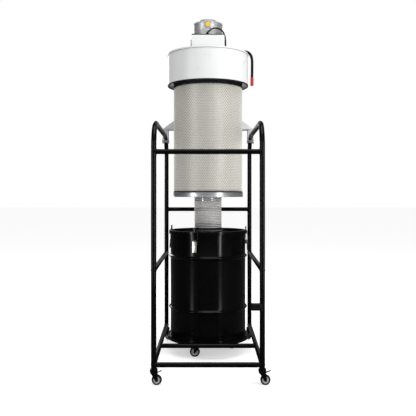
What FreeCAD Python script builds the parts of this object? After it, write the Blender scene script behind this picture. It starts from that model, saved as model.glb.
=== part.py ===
import FreeCAD, Part

import math
import os

from FreeCAD import Vector

# A mobile workshop cyclone dust collector, in millimetres.
# The origin is on the floor at the centre of the stand. +X is to the right, +Y to the back, +Z up.
# The cyclone, its ring filter and the waste drum hang on one upright axis behind the centre.

# ---- stand of bent round tube
STAND_WIDTH = 570.0          # between post centres, side to side
STAND_DEPTH = 963.0          # between post centres, front to back
STAND_TOP_Z = 1388.0         # centre of the top rails
TUBE_OD = 28.6
TUBE_WALL = 1.6
BAR_OD = 27.0
TOP_BEND_R = 140.0           # centreline radius of the four top corners
POST_FOOT_Z = 85.0           # where the posts end and the casters begin
FRONT_TOP_BAR_Z = 1224.0
REAR_BAR_Z = 897.0
MID_RAIL_Z = 601.0
LOW_RAIL_Z = 105.0
STOP_BAR_Y = -92.5           # low cross bar that the drum rolls up to

# ---- the upright axis of cyclone, filter and drum
STACK_Y = 222.5

# ---- plenum: white drum on top of the filter
PLENUM_R = 256.5
PLENUM_WALL = 1.6
PLENUM_BOTTOM_Z = 1692.0
PLENUM_TOP_Z = 1895.0
PLENUM_LID_T = 3.0
PLENUM_LIP_H = 8.0
LIP_T = 1.6
PLENUM_FLOOR_T = 1.6
SKIRT_H = 20.0               # the skirt hangs this far below the floor of the plenum
TRIM_T = 1.5
TRIM_LEG = 7.0

# ---- inlet spigot, tangent to the cyclone barrel, facing back
INLET_R = 76.0
INLET_WALL = 1.6
INLET_REACH = 45.0           # the mouth stands out this far past the plenum's back
INLET_END_Y = STACK_Y + PLENUM_R + INLET_REACH
INLET_Z = 1790.0
INLET_GRIP_L = 40.0          # full-size mouth that a hose slides over; the rest is swaged down
INLET_SWAGE = 3.0

# ---- cyclone inside the filter
BARREL_R = 150.0
CYCLONE_WALL = 1.5
BARREL_END_Z = 1450.0
CONE_END_Z = 1030.0
OUTLET_R = 84.0
OUTLET_END_Z = 955.0

# ---- ring filter
FILTER_R = 219.5
SCREEN_T = 1.5
MEDIA_GAP = 2.5
MEDIA_T = 28.0
FILTER_CAP_H = 35.0          # black moulded top cap of the filter
LOW_SEAL_T = 7.5
SEAL_OVERHANG = 2.0
PAN_R = 225.0
PAN_BOTTOM_Z = 983.0
PAN_H = 28.0
PAN_T = 2.0
PAN_LIP = 12.0

# ---- waste hose and clamp
HOSE_R = 88.5
HOSE_TOP_Z = 1000.0
HOSE_BOTTOM_Z = 768.0
HOSE_FIT = 0.3
CLAMP_SCREW_R = 4.5
CLAMP_SCREW_HALF_L = 12.0
CLAMP_SCREW_OUT = 4.0
CLAMP_T = 1.6
CLAMP_H = 13.0
CLAMP_Z = 779.0

# ---- drum, lid and dolly
DRUM_R = 240.0
DRUM_WALL = 1.5
DRUM_BOTTOM_Z = 109.0
DRUM_FLOOR_Z = 125.0
DRUM_TOP_Z = 766.0
HOOP_OUT = 10.5
HOOP_R = DRUM_R + HOOP_OUT
HOOP_HALF_H = 14.0
HOOP_ZS = (285.0, 610.0)
CURL_R = 3.3
CHIME_H = 14.0
CHIME_T = 3.0
LID_OVERHANG = 9.5
LID_R = DRUM_R + LID_OVERHANG
LID_T = 1.5
LID_TOP_Z = 772.0
LID_SKIRT_Z = 750.0
LID_PANEL_Z = 757.0
LID_COLLAR_TOP_Z = 812.0
LID_CUP_GAP = 2.0
DOLLY_R = 260.0
DOLLY_RIM_T = 8.0
DOLLY_RIM_Z = 86.0
DOLLY_DECK_T = 7.0

# ---- over-centre latches round the drum's mouth
LATCH_FIRST_DEG = -18.0      # from the front, turning towards +X
LATCH_COUNT = 4
LATCH_PIVOT_U = DRUM_R + 14.5  # distance of the lever's pin from the drum's axis
LATCH_PIVOT_Z = 706.0
LOOP_PIN_U = DRUM_R + 11.5
LOOP_PIN_Z = 693.0
LOOP_TOP_U = DRUM_R + 14.5
LOOP_TOP_Z = 771.0
LOOP_WIRE_R = 1.5
LOOP_HALF_W = 17.0
LEVER_T = 2.0
LEVER_FACE_U = DRUM_R + 22.0
LEVER_BOTTOM_Z = 650.0
LEVER_TOP_Z = 713.5
LEVER_TOP_HALF_W = 13.5
LEVER_END_HALF_W = 12.0
LEVER_CHEEK_T = 2.0
LEVER_SHOULDER = 6.0         # the lever starts to taper this far below the loop's foot
LEVER_LIP_OUT = 3.0
LEVER_LIP_DROP = 2.0
CHEEK_EDGE = 4.0             # cheek left round the loop's foot
PIN_R = 2.0
PIN_FIT = 0.05
EAR_T = 2.0
EAR_GAP = 0.6
EAR_ROUND = 4.2
BASE_T = 2.0
BASE_LOW_Z = 660.0
BASE_HIGH_Z = 722.0
BASE_HALF_W = 15.0
HOOK_T = 2.0
HOOK_HALF_W = 11.0
HOOK_LOW_Z = 752.0
HOOK_HIGH_Z = 798.0
HOOK_LEDGE_GAP = 1.2
HOOK_LEDGE_OUT = 3.0

# ---- motor box and motor
BOX_W = 207.0
BOX_TOP_Z = 1999.0
BOX_WALL = 3.0
SEAL_H = 7.0
SEAL_INSET = 1.0
MOTOR_R = 94.0
MOTOR_TOP_Z = 2090.0
MOTOR_CAP_R = 51.5
MOTOR_CAP_TOP_Z = 2117.0
MOTOR_ROUND = 4.0
PLUG_R = 14.5
PLUG_Z = 2068.0
PLUG_OUT = 3.5
CATCH_OUT = 8.0
CATCH_W = 26.0
CATCH_LOW_Z = 1902.0
CATCH_SPLIT_Z = 1972.0
CATCH_GAP = 6.0
CATCH_TOP_Z = 1992.0

# ---- mounting beam that carries the cyclone on the top rails
BEAM_OVERHANG = 23.0
BEAM_HALF_W = STAND_WIDTH / 2 + BEAM_OVERHANG
BEAM_Z = 1434.0
BEAM_T = 3.0
BEAM_FRONT_Y = 372.0
BEAM_BACK_Y = 470.0
BEAM_FILTER_GAP = 5.0
WEB_END_H = 16.0             # height of the web at its outer ends
WEB_KNEE_X = 239.0
WEB_KNEE_H = 66.0
WEB_SHOULDER_X = 120.0
WEB_SHOULDER_H = 150.0
NECK_HALF_W = 45.0
FOOT_Y = 400.0
FOOT_L = 44.0
FOOT_W = 24.0
STUD_R = 3.0
STUD_OFFSET = 18.5
STUD_HEAD_R = 5.5
STUD_HEAD_H = 4.0
STRAP_T = 8.0
CLAMP_DEPTH = 20.0           # the strap hangs this far below the rail
CLAMP_BITE = 8.0
STRAP_L = 22.0
STRAP_OVERHANG = 4.5

# ---- cable, drop tube and switch box
CABLE_OD = 9.0
CABLE_ROUTE = [(-4, 122, 2013), (14, 122, 2034), (48, 121, 2045), (84, 123, 2033), (107, 127, 1999),
               (111.5, 133, 1953), (112, 136, 1901)]
GLAND_R = 8.0
DROP_OD = 17.4
DROP_ROUTE = [(202, 222, 1913), (234, 222, 1919), (261, 221, 1913), (278, 220, 1892), (284, 219, 1863),
              (284, 219, 1811), (283, 219, 1751)]
DROP_TIP_R = 10.3
DROP_TIP_L = 53.0
ELBOW_R = 13.0
ELBOW_L = 16.0
SWITCH_W = 43.0
SWITCH_D = 40.0
SWITCH_H = 34.0
SWITCH_Z = 409.0
SWITCH_ROUND = 3.0

# ---- casters: wheel radius and half width, trail, height of the fork crown, and the cup over it
FRAME_CASTER = {"wheel_r": 27.5, "half_w": 10.0, "trail": 16.0, "top_z": 85.0, "cup_h": 14.0, "cup_r": 21.0}
DOLLY_CASTER = {"wheel_r": 31.5, "half_w": 11.0, "trail": 20.0, "top_z": 102.0, "cup_h": 22.0, "cup_r": 24.0}
KING_PIN_R = 5.0
AXLE_R = 3.0
RUNNING_FIT = 0.05
CROWN_H = 9.0
CROWN_INSET = 2.0
CROWN_GAP = 0.6
FORK_T = 3.0
FORK_GAP = 2.0
AXLE_BOSS_R = 8.0
AXLE_HEAD_R = 5.5
AXLE_HEAD_H = 3.0
PLUG_IN_POST = 22.0
WHEEL_ROUND = 3.0
WHEEL_RIM_SHARE = 0.72       # where the web meets the tyre, as a share of the wheel's radius
WHEEL_WEB_SHARE = 0.72
WEB_SLOPE = 2.0
CROWN_BACK = 0.7             # the crown's back edge, as a share of its radius
DOLLY_CASTER_R = 178.0
DOLLY_CASTER_DEGS = (-20.0, 100.0, -140.0)
DOLLY_TRAIL_DEG = 180.0      # the dolly's wheels trail towards -X
FRONT_TRAIL_DEG = 0.0        # both front wheels trail towards +X
REAR_LEFT_TRAIL_DEG = 0.0
REAR_RIGHT_TRAIL_DEG = 115.0
PEDAL_PIN_X = 15.0
PEDAL_PIN_DROP = 7.0         # pedal's pin below the top of the fork's crown
PEDAL_PIN_R = 2.0
PEDAL_L = 29.0
PEDAL_RISE = 12.0
PEDAL_T = 3.0
PEDAL_HALF_W = 7.0

# ---- worked out from the sizes above
HALF_W = STAND_WIDTH / 2
HALF_D = STAND_DEPTH / 2
TUBE_R = TUBE_OD / 2
BAR_R = BAR_OD / 2
PLENUM_IN_R = PLENUM_R - PLENUM_WALL
PLENUM_FLOOR_Z = PLENUM_BOTTOM_Z + SKIRT_H
SHELL_TOP_Z = PLENUM_TOP_Z - PLENUM_LID_T
PAN_TOP_Z = PAN_BOTTOM_Z + PAN_H
FILTER_LOW_Z = PAN_TOP_Z + LOW_SEAL_T
FILTER_HIGH_Z = PLENUM_FLOOR_Z - FILTER_CAP_H
MEDIA_R = FILTER_R - SCREEN_T - MEDIA_GAP
MEDIA_IN_R = MEDIA_R - MEDIA_T
INLET_X = BARREL_R - INLET_R
CHEEK_OUT = LEVER_TOP_HALF_W
CHEEK_IN = CHEEK_OUT - LEVER_CHEEK_T
AXIS = Vector(0, STACK_Y, 0)
UP = Vector(0, 0, 1)
LEFT, RIGHT = -1, 1


def save(name, shape):
    shape.exportStep("parts/" + name + ".step")
    print(f"{name}: {len(shape.Solids)} solid(s), {shape.Volume / 1000:.1f} cm3, valid {shape.isValid()}")


def disc(radius, low_z, high_z, centre=AXIS):
    """An upright cylinder on the stack's axis, or on another centre."""
    return Part.makeCylinder(radius, high_z - low_z, Vector(centre.x, centre.y, low_z), UP)


def ring(outer, inner, low_z, high_z, centre=AXIS):
    return disc(outer, low_z, high_z, centre).cut(disc(inner, low_z, high_z, centre))


def rod(radius, start, end):
    """A round bar from one point to another."""
    start, end = Vector(*start), Vector(*end)
    return Part.makeCylinder(radius, (end - start).Length, start, end - start)


def block(low, high):
    low, high = Vector(*low), Vector(*high)
    size = high - low
    return Part.makeBox(size.x, size.y, size.z, low)


def turned(edges):
    """Revolves a closed outline of (radius, height) edges about the stack's axis."""
    face = Part.Face(Part.Wire(edges))
    solid = face.revolve(Vector(0, 0, 0), UP, 360)
    solid.translate(AXIS)
    return solid


def line(a, b):
    return Part.LineSegment(Vector(a[0], 0, a[1]), Vector(b[0], 0, b[1])).toShape()


def bow(a, b, c):
    """An arc from a to c through b, in the (radius, height) plane."""
    return Part.Arc(*(Vector(p[0], 0, p[1]) for p in (a, b, c))).toShape()


def outline(points):
    """Straight edges round a closed list of (radius, height) points."""
    return [line(a, b) for a, b in zip(points, points[1:] + points[:1])]


def fused(shapes):
    return shapes[0].multiFuse(shapes[1:]).removeSplitter()


def swept(path, radius):
    """A round bar along a wire that starts at its first vertex."""
    first = path.Edges[0]
    start = first.valueAt(first.FirstParameter)
    circle = Part.Circle(start, first.tangentAt(first.FirstParameter), radius)
    return path.makePipeShell([Part.Wire(circle.toShape())], True, False)


def cord_path(name, route):
    """Straight runs joined by tangent arcs, each as large as its two runs allow."""
    points = [Vector(*p) for p in route]
    edges, radii, last = [], [], points[0]
    for before, here, after in zip(points, points[1:], points[2:]):
        a, b = (before - here).normalize(), (after - here).normalize()
        half_turn = (math.pi - a.getAngle(b)) / 2
        reach = 0.45 * min((before - here).Length, (after - here).Length)
        radii.append(reach / math.tan(half_turn))
        into, out_of = here + a * reach, here + b * reach
        inward = (a + b).normalize()
        centre = here + inward * (reach / math.sin(half_turn))
        edges.append(Part.LineSegment(last, into).toShape())
        edges.append(Part.Arc(into, centre - inward * radii[-1], out_of).toShape())
        last = out_of
    edges.append(Part.LineSegment(last, points[-1]).toShape())
    print(name, "bend radii", [round(r, 1) for r in radii])
    return Part.Wire(edges)


# ---------------------------------------------------------------- stand
def frame_path(x):
    """Centreline of one side frame: an upside-down U with two round corners."""
    r, top = TOP_BEND_R, STAND_TOP_Z
    mid = r * (1 - math.sqrt(0.5))
    front, back = -HALF_D, HALF_D

    def at(y, z):
        return Vector(x, y, z)

    return Part.Wire([
        Part.LineSegment(at(front, POST_FOOT_Z), at(front, top - r)).toShape(),
        Part.Arc(at(front, top - r), at(front + mid, top - mid), at(front + r, top)).toShape(),
        Part.LineSegment(at(front + r, top), at(back - r, top)).toShape(),
        Part.Arc(at(back - r, top), at(back - mid, top - mid), at(back, top - r)).toShape(),
        Part.LineSegment(at(back, top - r), at(back, POST_FOOT_Z)).toShape(),
    ])


def side_frame(side):
    path = frame_path(side * HALF_W)
    return swept(path, TUBE_R).cut(swept(path, TUBE_R - TUBE_WALL))


def post_cutters():
    return [rod(TUBE_R, (x, y, POST_FOOT_Z), (x, y, STAND_TOP_Z - TOP_BEND_R))
            for x in (-HALF_W, HALF_W) for y in (-HALF_D, HALF_D)]


def hollow_bar(start, end, cutters):
    bar = rod(BAR_R, start, end).cut(rod(BAR_R - TUBE_WALL, start, end))
    for cutter in cutters:
        bar = bar.cut(cutter)
    return max(bar.Solids, key=lambda s: s.Volume)


def side_rail(x, z):
    return hollow_bar((x, -HALF_D, z), (x, HALF_D, z), post_cutters())


def side_rails():
    return Part.makeCompound([side_rail(x, z) for x in (-HALF_W, HALF_W) for z in (LOW_RAIL_Z, MID_RAIL_Z)])


def cross_bar(y, z, meets_rails):
    """A bar from side to side; it is coped to the posts, and to the low rails where it meets them."""
    cutters = post_cutters()
    if meets_rails:
        cutters += [rod(BAR_R, (x, -HALF_D, z), (x, HALF_D, z)) for x in (-HALF_W, HALF_W)]
    return hollow_bar((-HALF_W, y, z), (HALF_W, y, z), cutters)


# ---------------------------------------------------------------- mounting beam
def mounting_beam():
    """Folded sheet: a flange cut round the filter, a web behind it and a neck up to the plenum's floor."""
    flange = block((-BEAM_HALF_W, BEAM_FRONT_Y, BEAM_Z), (BEAM_HALF_W, BEAM_BACK_Y, BEAM_Z + BEAM_T))
    flange = flange.cut(disc(PAN_R + BEAM_FILTER_GAP, BEAM_Z, BEAM_Z + BEAM_T))
    half = [(BEAM_HALF_W, 0), (BEAM_HALF_W, WEB_END_H), (WEB_KNEE_X, WEB_KNEE_H),
            (WEB_SHOULDER_X, WEB_SHOULDER_H), (NECK_HALF_W, PLENUM_BOTTOM_Z - BEAM_Z - TRIM_LEG),
            (NECK_HALF_W, PLENUM_FLOOR_Z - BEAM_Z)]
    points = [Vector(x, BEAM_BACK_Y, BEAM_Z + h) for x, h in half]
    points += [Vector(-p.x, p.y, p.z) for p in reversed(points)]
    web = Part.Face(Part.makePolygon(points + points[:1])).extrude(Vector(0, -BEAM_T, 0))
    feet = [block((s * HALF_W - FOOT_W / 2, FOOT_Y - FOOT_L / 2, STAND_TOP_Z),
                  (s * HALF_W + FOOT_W / 2, FOOT_Y + FOOT_L / 2, BEAM_Z)) for s in (LEFT, RIGHT)]
    beam = fused([flange, web] + feet)
    for side in (LEFT, RIGHT):
        beam = beam.cut(swept(frame_path(side * HALF_W), TUBE_R))
        for stud_x in (-STUD_OFFSET, STUD_OFFSET):
            x = side * HALF_W + stud_x
            beam = beam.cut(rod(STUD_R, (x, FOOT_Y, BEAM_Z), (x, FOOT_Y, BEAM_Z + BEAM_T)))
    return max(beam.Solids, key=lambda s: s.Volume)


def beam_clamps():
    """Under each top rail, a strap with two studs up through the beam."""
    clamps = []
    rail_low_z = STAND_TOP_Z - TUBE_R
    for side in (LEFT, RIGHT):
        x = side * HALF_W
        reach = STUD_OFFSET + STRAP_OVERHANG
        pieces = [block((x - reach, FOOT_Y - STRAP_L / 2, rail_low_z - STRAP_T - CLAMP_DEPTH),
                        (x + reach, FOOT_Y + STRAP_L / 2, rail_low_z - CLAMP_BITE))]
        for stud_x in (x - STUD_OFFSET, x + STUD_OFFSET):
            pieces.append(rod(STUD_R, (stud_x, FOOT_Y, rail_low_z - CLAMP_DEPTH),
                              (stud_x, FOOT_Y, BEAM_Z + BEAM_T + STUD_HEAD_H)))
            pieces.append(rod(STUD_HEAD_R, (stud_x, FOOT_Y, BEAM_Z + BEAM_T),
                              (stud_x, FOOT_Y, BEAM_Z + BEAM_T + STUD_HEAD_H)))
        clamps.append(fused(pieces).cut(swept(frame_path(x), TUBE_R)))
    return Part.makeCompound([max(c.Solids, key=lambda s: s.Volume) for c in clamps])


# ---------------------------------------------------------------- plenum and inlet
def inlet_bar(radius, end_y):
    return rod(radius, (INLET_X, STACK_Y, INLET_Z), (INLET_X, end_y, INLET_Z))


def plenum_shell():
    return ring(PLENUM_R, PLENUM_IN_R, PLENUM_BOTTOM_Z, SHELL_TOP_Z).cut(inlet_bar(INLET_R - INLET_SWAGE, INLET_END_Y))


def plenum_top():
    return fused([disc(PLENUM_R + LIP_T, SHELL_TOP_Z, PLENUM_TOP_Z),
                  ring(PLENUM_R + LIP_T, PLENUM_R, SHELL_TOP_Z - PLENUM_LIP_H, SHELL_TOP_Z)])


def plenum_floor():
    return ring(PLENUM_IN_R, BARREL_R, PLENUM_FLOOR_Z, PLENUM_FLOOR_Z + PLENUM_FLOOR_T)


def skirt_trim():
    low = PLENUM_BOTTOM_Z - TRIM_T
    return fused([ring(PLENUM_R + TRIM_T, PLENUM_IN_R - TRIM_T, low, PLENUM_BOTTOM_Z),
                  ring(PLENUM_R + TRIM_T, PLENUM_R, low, low + TRIM_LEG),
                  ring(PLENUM_IN_R, PLENUM_IN_R - TRIM_T, low, low + TRIM_LEG)])


def inlet_spigot():
    """Round pipe from the cyclone barrel out through the plenum's back, full size only at its mouth."""
    swaged_r = INLET_R - INLET_SWAGE
    mouth = rod(INLET_R, (INLET_X, INLET_END_Y - INLET_GRIP_L, INLET_Z), (INLET_X, INLET_END_Y, INLET_Z))
    pipe = fused([inlet_bar(swaged_r, INLET_END_Y), mouth])
    pipe = pipe.cut(inlet_bar(swaged_r - INLET_WALL, INLET_END_Y))
    pipe = pipe.cut(disc(BARREL_R, PLENUM_BOTTOM_Z, PLENUM_TOP_Z))
    return max(pipe.Solids, key=lambda s: s.Volume)


# ---------------------------------------------------------------- cyclone and filter
def cyclone_body():
    """Barrel, cone and outlet collar in one thin shell; the barrel opens into the inlet."""
    t = CYCLONE_WALL
    outer = [(BARREL_R, SHELL_TOP_Z), (BARREL_R, BARREL_END_Z), (OUTLET_R, CONE_END_Z), (OUTLET_R, OUTLET_END_Z)]
    inner = [(r - t, z) for r, z in reversed(outer)]
    shell = turned(outline(outer + inner))
    return shell.cut(inlet_bar(INLET_R - INLET_SWAGE - INLET_WALL, INLET_END_Y))


def filter_media():
    return ring(MEDIA_R, MEDIA_IN_R, FILTER_LOW_Z, FILTER_HIGH_Z)


def filter_screen():
    return ring(FILTER_R, FILTER_R - SCREEN_T, FILTER_LOW_Z, FILTER_HIGH_Z)


def filter_seals():
    outer = FILTER_R + SEAL_OVERHANG
    return Part.makeCompound([ring(outer, MEDIA_IN_R, PAN_TOP_Z, FILTER_LOW_Z),
                              ring(outer, MEDIA_IN_R, FILTER_HIGH_Z, PLENUM_FLOOR_Z)])


def filter_pan():
    """Galvanised end pan under the filter, with a turned-in lip."""
    return fused([ring(PAN_R, OUTLET_R, PAN_TOP_Z - PAN_T, PAN_TOP_Z),
                  ring(PAN_R, PAN_R - PAN_T, PAN_BOTTOM_Z, PAN_TOP_Z),
                  ring(PAN_R, PAN_R - PAN_LIP, PAN_BOTTOM_Z, PAN_BOTTOM_Z + PAN_T)])


# ---------------------------------------------------------------- hose, drum and dolly
def waste_hose():
    return ring(HOSE_R, OUTLET_R + HOSE_FIT, HOSE_BOTTOM_Z, HOSE_TOP_Z)


def hose_clamp():
    band = ring(HOSE_R + CLAMP_T, HOSE_R, CLAMP_Z - CLAMP_H / 2, CLAMP_Z + CLAMP_H / 2)
    screw_y = STACK_Y - HOSE_R - CLAMP_T - CLAMP_SCREW_OUT
    screw = rod(CLAMP_SCREW_R, (-CLAMP_SCREW_HALF_L, screw_y, CLAMP_Z), (CLAMP_SCREW_HALF_L, screw_y, CLAMP_Z))
    return fused([band, screw])


def drum_lid():
    """Pressed lid: a collar for the hose, a sunk panel and a channel over the drum's curled edge."""
    t = LID_T
    cup_r = DRUM_R - DRUM_WALL - LID_CUP_GAP
    return turned(outline([
        (OUTLET_R - t, LID_COLLAR_TOP_Z), (OUTLET_R, LID_COLLAR_TOP_Z), (OUTLET_R, LID_PANEL_Z),
        (cup_r - t, LID_PANEL_Z), (cup_r - t, LID_TOP_Z), (LID_R, LID_TOP_Z), (LID_R, LID_SKIRT_Z),
        (LID_R - t, LID_SKIRT_Z), (LID_R - t, LID_TOP_Z - t), (cup_r, LID_TOP_Z - t),
        (cup_r, LID_PANEL_Z - t), (OUTLET_R - t, LID_PANEL_Z - t)]))


def drum_wall_edges(radius, hoop_r):
    """One face of the drum's wall from bottom to top, bulging at each hoop."""
    edges, low = [], DRUM_FLOOR_Z
    for z in HOOP_ZS:
        edges.append(line((radius, low), (radius, z - HOOP_HALF_H)))
        edges.append(bow((radius, z - HOOP_HALF_H), (hoop_r, z), (radius, z + HOOP_HALF_H)))
        low = z + HOOP_HALF_H
    edges.append(line((radius, low), (radius, DRUM_TOP_Z)))
    return edges


def drum_body():
    inner_r = DRUM_R - DRUM_WALL
    edges = drum_wall_edges(DRUM_R, HOOP_R)
    edges.append(line((DRUM_R, DRUM_TOP_Z), (inner_r, DRUM_TOP_Z)))
    edges += drum_wall_edges(inner_r, HOOP_R - DRUM_WALL)
    edges.append(line((inner_r, DRUM_FLOOR_Z), (DRUM_R, DRUM_FLOOR_Z)))
    wall = turned([e for e in Part.sortEdges(edges)[0]])
    curl = Part.makeTorus(DRUM_R + CURL_R - DRUM_WALL / 2, CURL_R, Vector(0, STACK_Y, DRUM_TOP_Z - CURL_R), UP)
    inside = disc(inner_r, DRUM_FLOOR_Z, LID_TOP_Z)
    return wall.fuse(curl.cut(inside)).removeSplitter()


def drum_bottom():
    """Sunk floor of the drum and the rolled chime that it stands on."""
    chime_r = DRUM_R + CHIME_T
    return fused([disc(DRUM_R, DRUM_FLOOR_Z - DRUM_WALL, DRUM_FLOOR_Z),
                  ring(chime_r, DRUM_R - CHIME_T, DRUM_BOTTOM_Z, DRUM_FLOOR_Z - DRUM_WALL),
                  ring(chime_r, DRUM_R, DRUM_FLOOR_Z - DRUM_WALL, DRUM_BOTTOM_Z + CHIME_H + CHIME_T)])


def dolly_ring():
    """Round deck with a rim; the cups of its casters are welded on below."""
    deck = disc(DOLLY_R - DOLLY_RIM_T / 2, DRUM_BOTTOM_Z - DOLLY_DECK_T, DRUM_BOTTOM_Z)
    rim = ring(DOLLY_R, DOLLY_R - DOLLY_RIM_T, DOLLY_RIM_Z, DRUM_BOTTOM_Z - DOLLY_DECK_T / 2)
    cups = [place_caster(caster_cup(DOLLY_CASTER), centre, 0) for _, centre in dolly_places()]
    return fused([deck, rim] + cups)


# ---------------------------------------------------------------- latches
def place_latch(shape, index):
    """Turns a latch piece, modelled facing the front, to its own place round the drum."""
    turned_piece = shape.copy()
    turned_piece.rotate(AXIS, UP, LATCH_FIRST_DEG + index * 360.0 / LATCH_COUNT)
    return turned_piece


def facing(u):
    """Y of a point this far from the drum's axis on the front side."""
    return STACK_Y - u


def latch_block(low_u, high_u, half_w, low_z, high_z):
    return block((-half_w, facing(high_u), low_z), (half_w, facing(low_u), high_z))


def cheek_pair(half_out, thickness, low_u, high_u, low_z, high_z):
    return [block((min(s * half_out, s * (half_out - thickness)), facing(high_u), low_z),
                  (max(s * half_out, s * (half_out - thickness)), facing(low_u), high_z)) for s in (LEFT, RIGHT)]


def latch_base():
    """Saddle on the drum's wall with two ears and the lever's pin."""
    plate = latch_block(DRUM_R - 4, DRUM_R + BASE_T, BASE_HALF_W, BASE_LOW_Z, BASE_HIGH_Z)
    ear_out = CHEEK_IN - EAR_GAP
    ears = cheek_pair(ear_out, EAR_T, DRUM_R - 1, LATCH_PIVOT_U, LATCH_PIVOT_Z - EAR_ROUND, LATCH_PIVOT_Z + EAR_ROUND)
    y = facing(LATCH_PIVOT_U)
    ears += [rod(EAR_ROUND, (s * ear_out, y, LATCH_PIVOT_Z), (s * (ear_out - EAR_T), y, LATCH_PIVOT_Z))
             for s in (LEFT, RIGHT)]
    pin = rod(PIN_R, (-CHEEK_OUT - 1, y, LATCH_PIVOT_Z), (CHEEK_OUT + 1, y, LATCH_PIVOT_Z))
    return fused([plate] + ears + [pin]).cut(disc(DRUM_R, BASE_LOW_Z, BASE_HIGH_Z))


def latch_hook():
    """Plate on the lid's skirt with the ledge that the loop pulls down on."""
    ledge_z = LOOP_TOP_Z - LOOP_WIRE_R - HOOK_LEDGE_GAP
    plate = latch_block(LID_R - 3, LID_R + HOOK_T, HOOK_HALF_W, HOOK_LOW_Z, HOOK_HIGH_Z)
    ledge = latch_block(LID_R, LOOP_TOP_U + HOOK_LEDGE_OUT, HOOK_HALF_W, ledge_z - HOOK_T, ledge_z)
    return fused([plate, ledge]).cut(disc(LID_R, HOOK_LOW_Z, HOOK_HIGH_Z))


def latch_plates():
    return Part.makeCompound([place_latch(piece, i) for i in range(LATCH_COUNT)
                              for piece in (latch_base(), latch_hook())])


def latch_lever():
    """Tapered handle with two cheeks that turn on the base's pin and hold the loop's foot."""
    y_out, y_in = facing(LEVER_FACE_U), facing(LEVER_FACE_U - LEVER_T)
    corners = [(LEVER_TOP_HALF_W, LEVER_TOP_Z), (LEVER_TOP_HALF_W, LOOP_PIN_Z - LEVER_SHOULDER),
               (LEVER_END_HALF_W, LEVER_BOTTOM_Z)]
    points = [Vector(x, y_out, z) for x, z in corners]
    points += [Vector(-p.x, p.y, p.z) for p in reversed(points)]
    plate = Part.Face(Part.makePolygon(points + points[:1])).extrude(Vector(0, y_in - y_out, 0))
    lip = block((-LEVER_END_HALF_W, facing(LEVER_FACE_U + LEVER_LIP_OUT), LEVER_BOTTOM_Z - LEVER_LIP_DROP),
                (LEVER_END_HALF_W, y_in, LEVER_BOTTOM_Z + 1))
    cheeks = cheek_pair(CHEEK_OUT, LEVER_CHEEK_T, LOOP_PIN_U - CHEEK_EDGE, LEVER_FACE_U - LEVER_T / 2,
                        LOOP_PIN_Z - CHEEK_EDGE, LEVER_TOP_Z)
    lever = fused([plate, lip] + cheeks)
    for u, z, r in ((LATCH_PIVOT_U, LATCH_PIVOT_Z, PIN_R), (LOOP_PIN_U, LOOP_PIN_Z, LOOP_WIRE_R)):
        lever = lever.cut(rod(r + PIN_FIT, (-CHEEK_OUT, facing(u), z), (CHEEK_OUT, facing(u), z)))
    return lever


def latch_loop():
    """Closed loop of wire: foot through the lever, legs up past the pin, top bar over the hook's ledge."""
    foot = [(s * LOOP_HALF_W, facing(LOOP_PIN_U), LOOP_PIN_Z) for s in (LEFT, RIGHT)]
    top = [(s * LOOP_HALF_W, facing(LOOP_TOP_U), LOOP_TOP_Z) for s in (LEFT, RIGHT)]
    wires = [rod(LOOP_WIRE_R, foot[0], foot[1]), rod(LOOP_WIRE_R, top[0], top[1])]
    wires += [rod(LOOP_WIRE_R, a, b) for a, b in zip(foot, top)]
    corners = [Part.makeSphere(LOOP_WIRE_R, Vector(*p)) for p in foot + top]
    return fused(wires + corners)


# ---------------------------------------------------------------- motor
def motor_box():
    """Square housing, open below, over the hole in the middle of the plenum's top."""
    half = BOX_W / 2
    outer = block((-half, STACK_Y - half, PLENUM_TOP_Z), (half, STACK_Y + half, BOX_TOP_Z))
    outer = outer.makeFillet(MOTOR_ROUND, [e for e in outer.Edges if abs(e.tangentAt(0).z) > 0.5])
    hollow = half - BOX_WALL
    return outer.cut(block((-hollow, STACK_Y - hollow, PLENUM_TOP_Z), (hollow, STACK_Y + hollow, BOX_TOP_Z - BOX_WALL)))


def motor_seal():
    half = BOX_W / 2 - SEAL_INSET
    return block((-half, STACK_Y - half, BOX_TOP_Z), (half, STACK_Y + half, BOX_TOP_Z + SEAL_H))


def motor_body():
    """Can and cap, both with rounded top edges."""
    low, r = BOX_TOP_Z + SEAL_H, MOTOR_ROUND
    mid = r * (1 - math.sqrt(0.5))

    def can(radius, low_z, high_z):
        return turned([line((0, low_z), (radius, low_z)), line((radius, low_z), (radius, high_z - r)),
                       bow((radius, high_z - r), (radius - mid, high_z - mid), (radius - r, high_z)),
                       line((radius - r, high_z), (0, high_z)), line((0, high_z), (0, low_z))])

    return fused([can(MOTOR_R, low, MOTOR_TOP_Z), can(MOTOR_CAP_R, MOTOR_TOP_Z - 1, MOTOR_CAP_TOP_Z)])


def motor_plug():
    plug = rod(PLUG_R, (0, facing(MOTOR_R - 8), PLUG_Z), (0, facing(MOTOR_R + PLUG_OUT), PLUG_Z))
    return plug.cut(disc(MOTOR_R, BOX_TOP_Z, MOTOR_TOP_Z))


def box_catches():
    """A toggle catch on each side of the motor box, in two pieces with a gap between."""
    pieces = []
    for side in (LEFT, RIGHT):
        xs = sorted((side * BOX_W / 2, side * (BOX_W / 2 + CATCH_OUT)))
        for low, high in ((CATCH_LOW_Z, CATCH_SPLIT_Z), (CATCH_SPLIT_Z + CATCH_GAP, CATCH_TOP_Z)):
            pieces.append(block((xs[0], STACK_Y - CATCH_W / 2, low), (xs[1], STACK_Y + CATCH_W / 2, high)))
    return Part.makeCompound(pieces)


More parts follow.
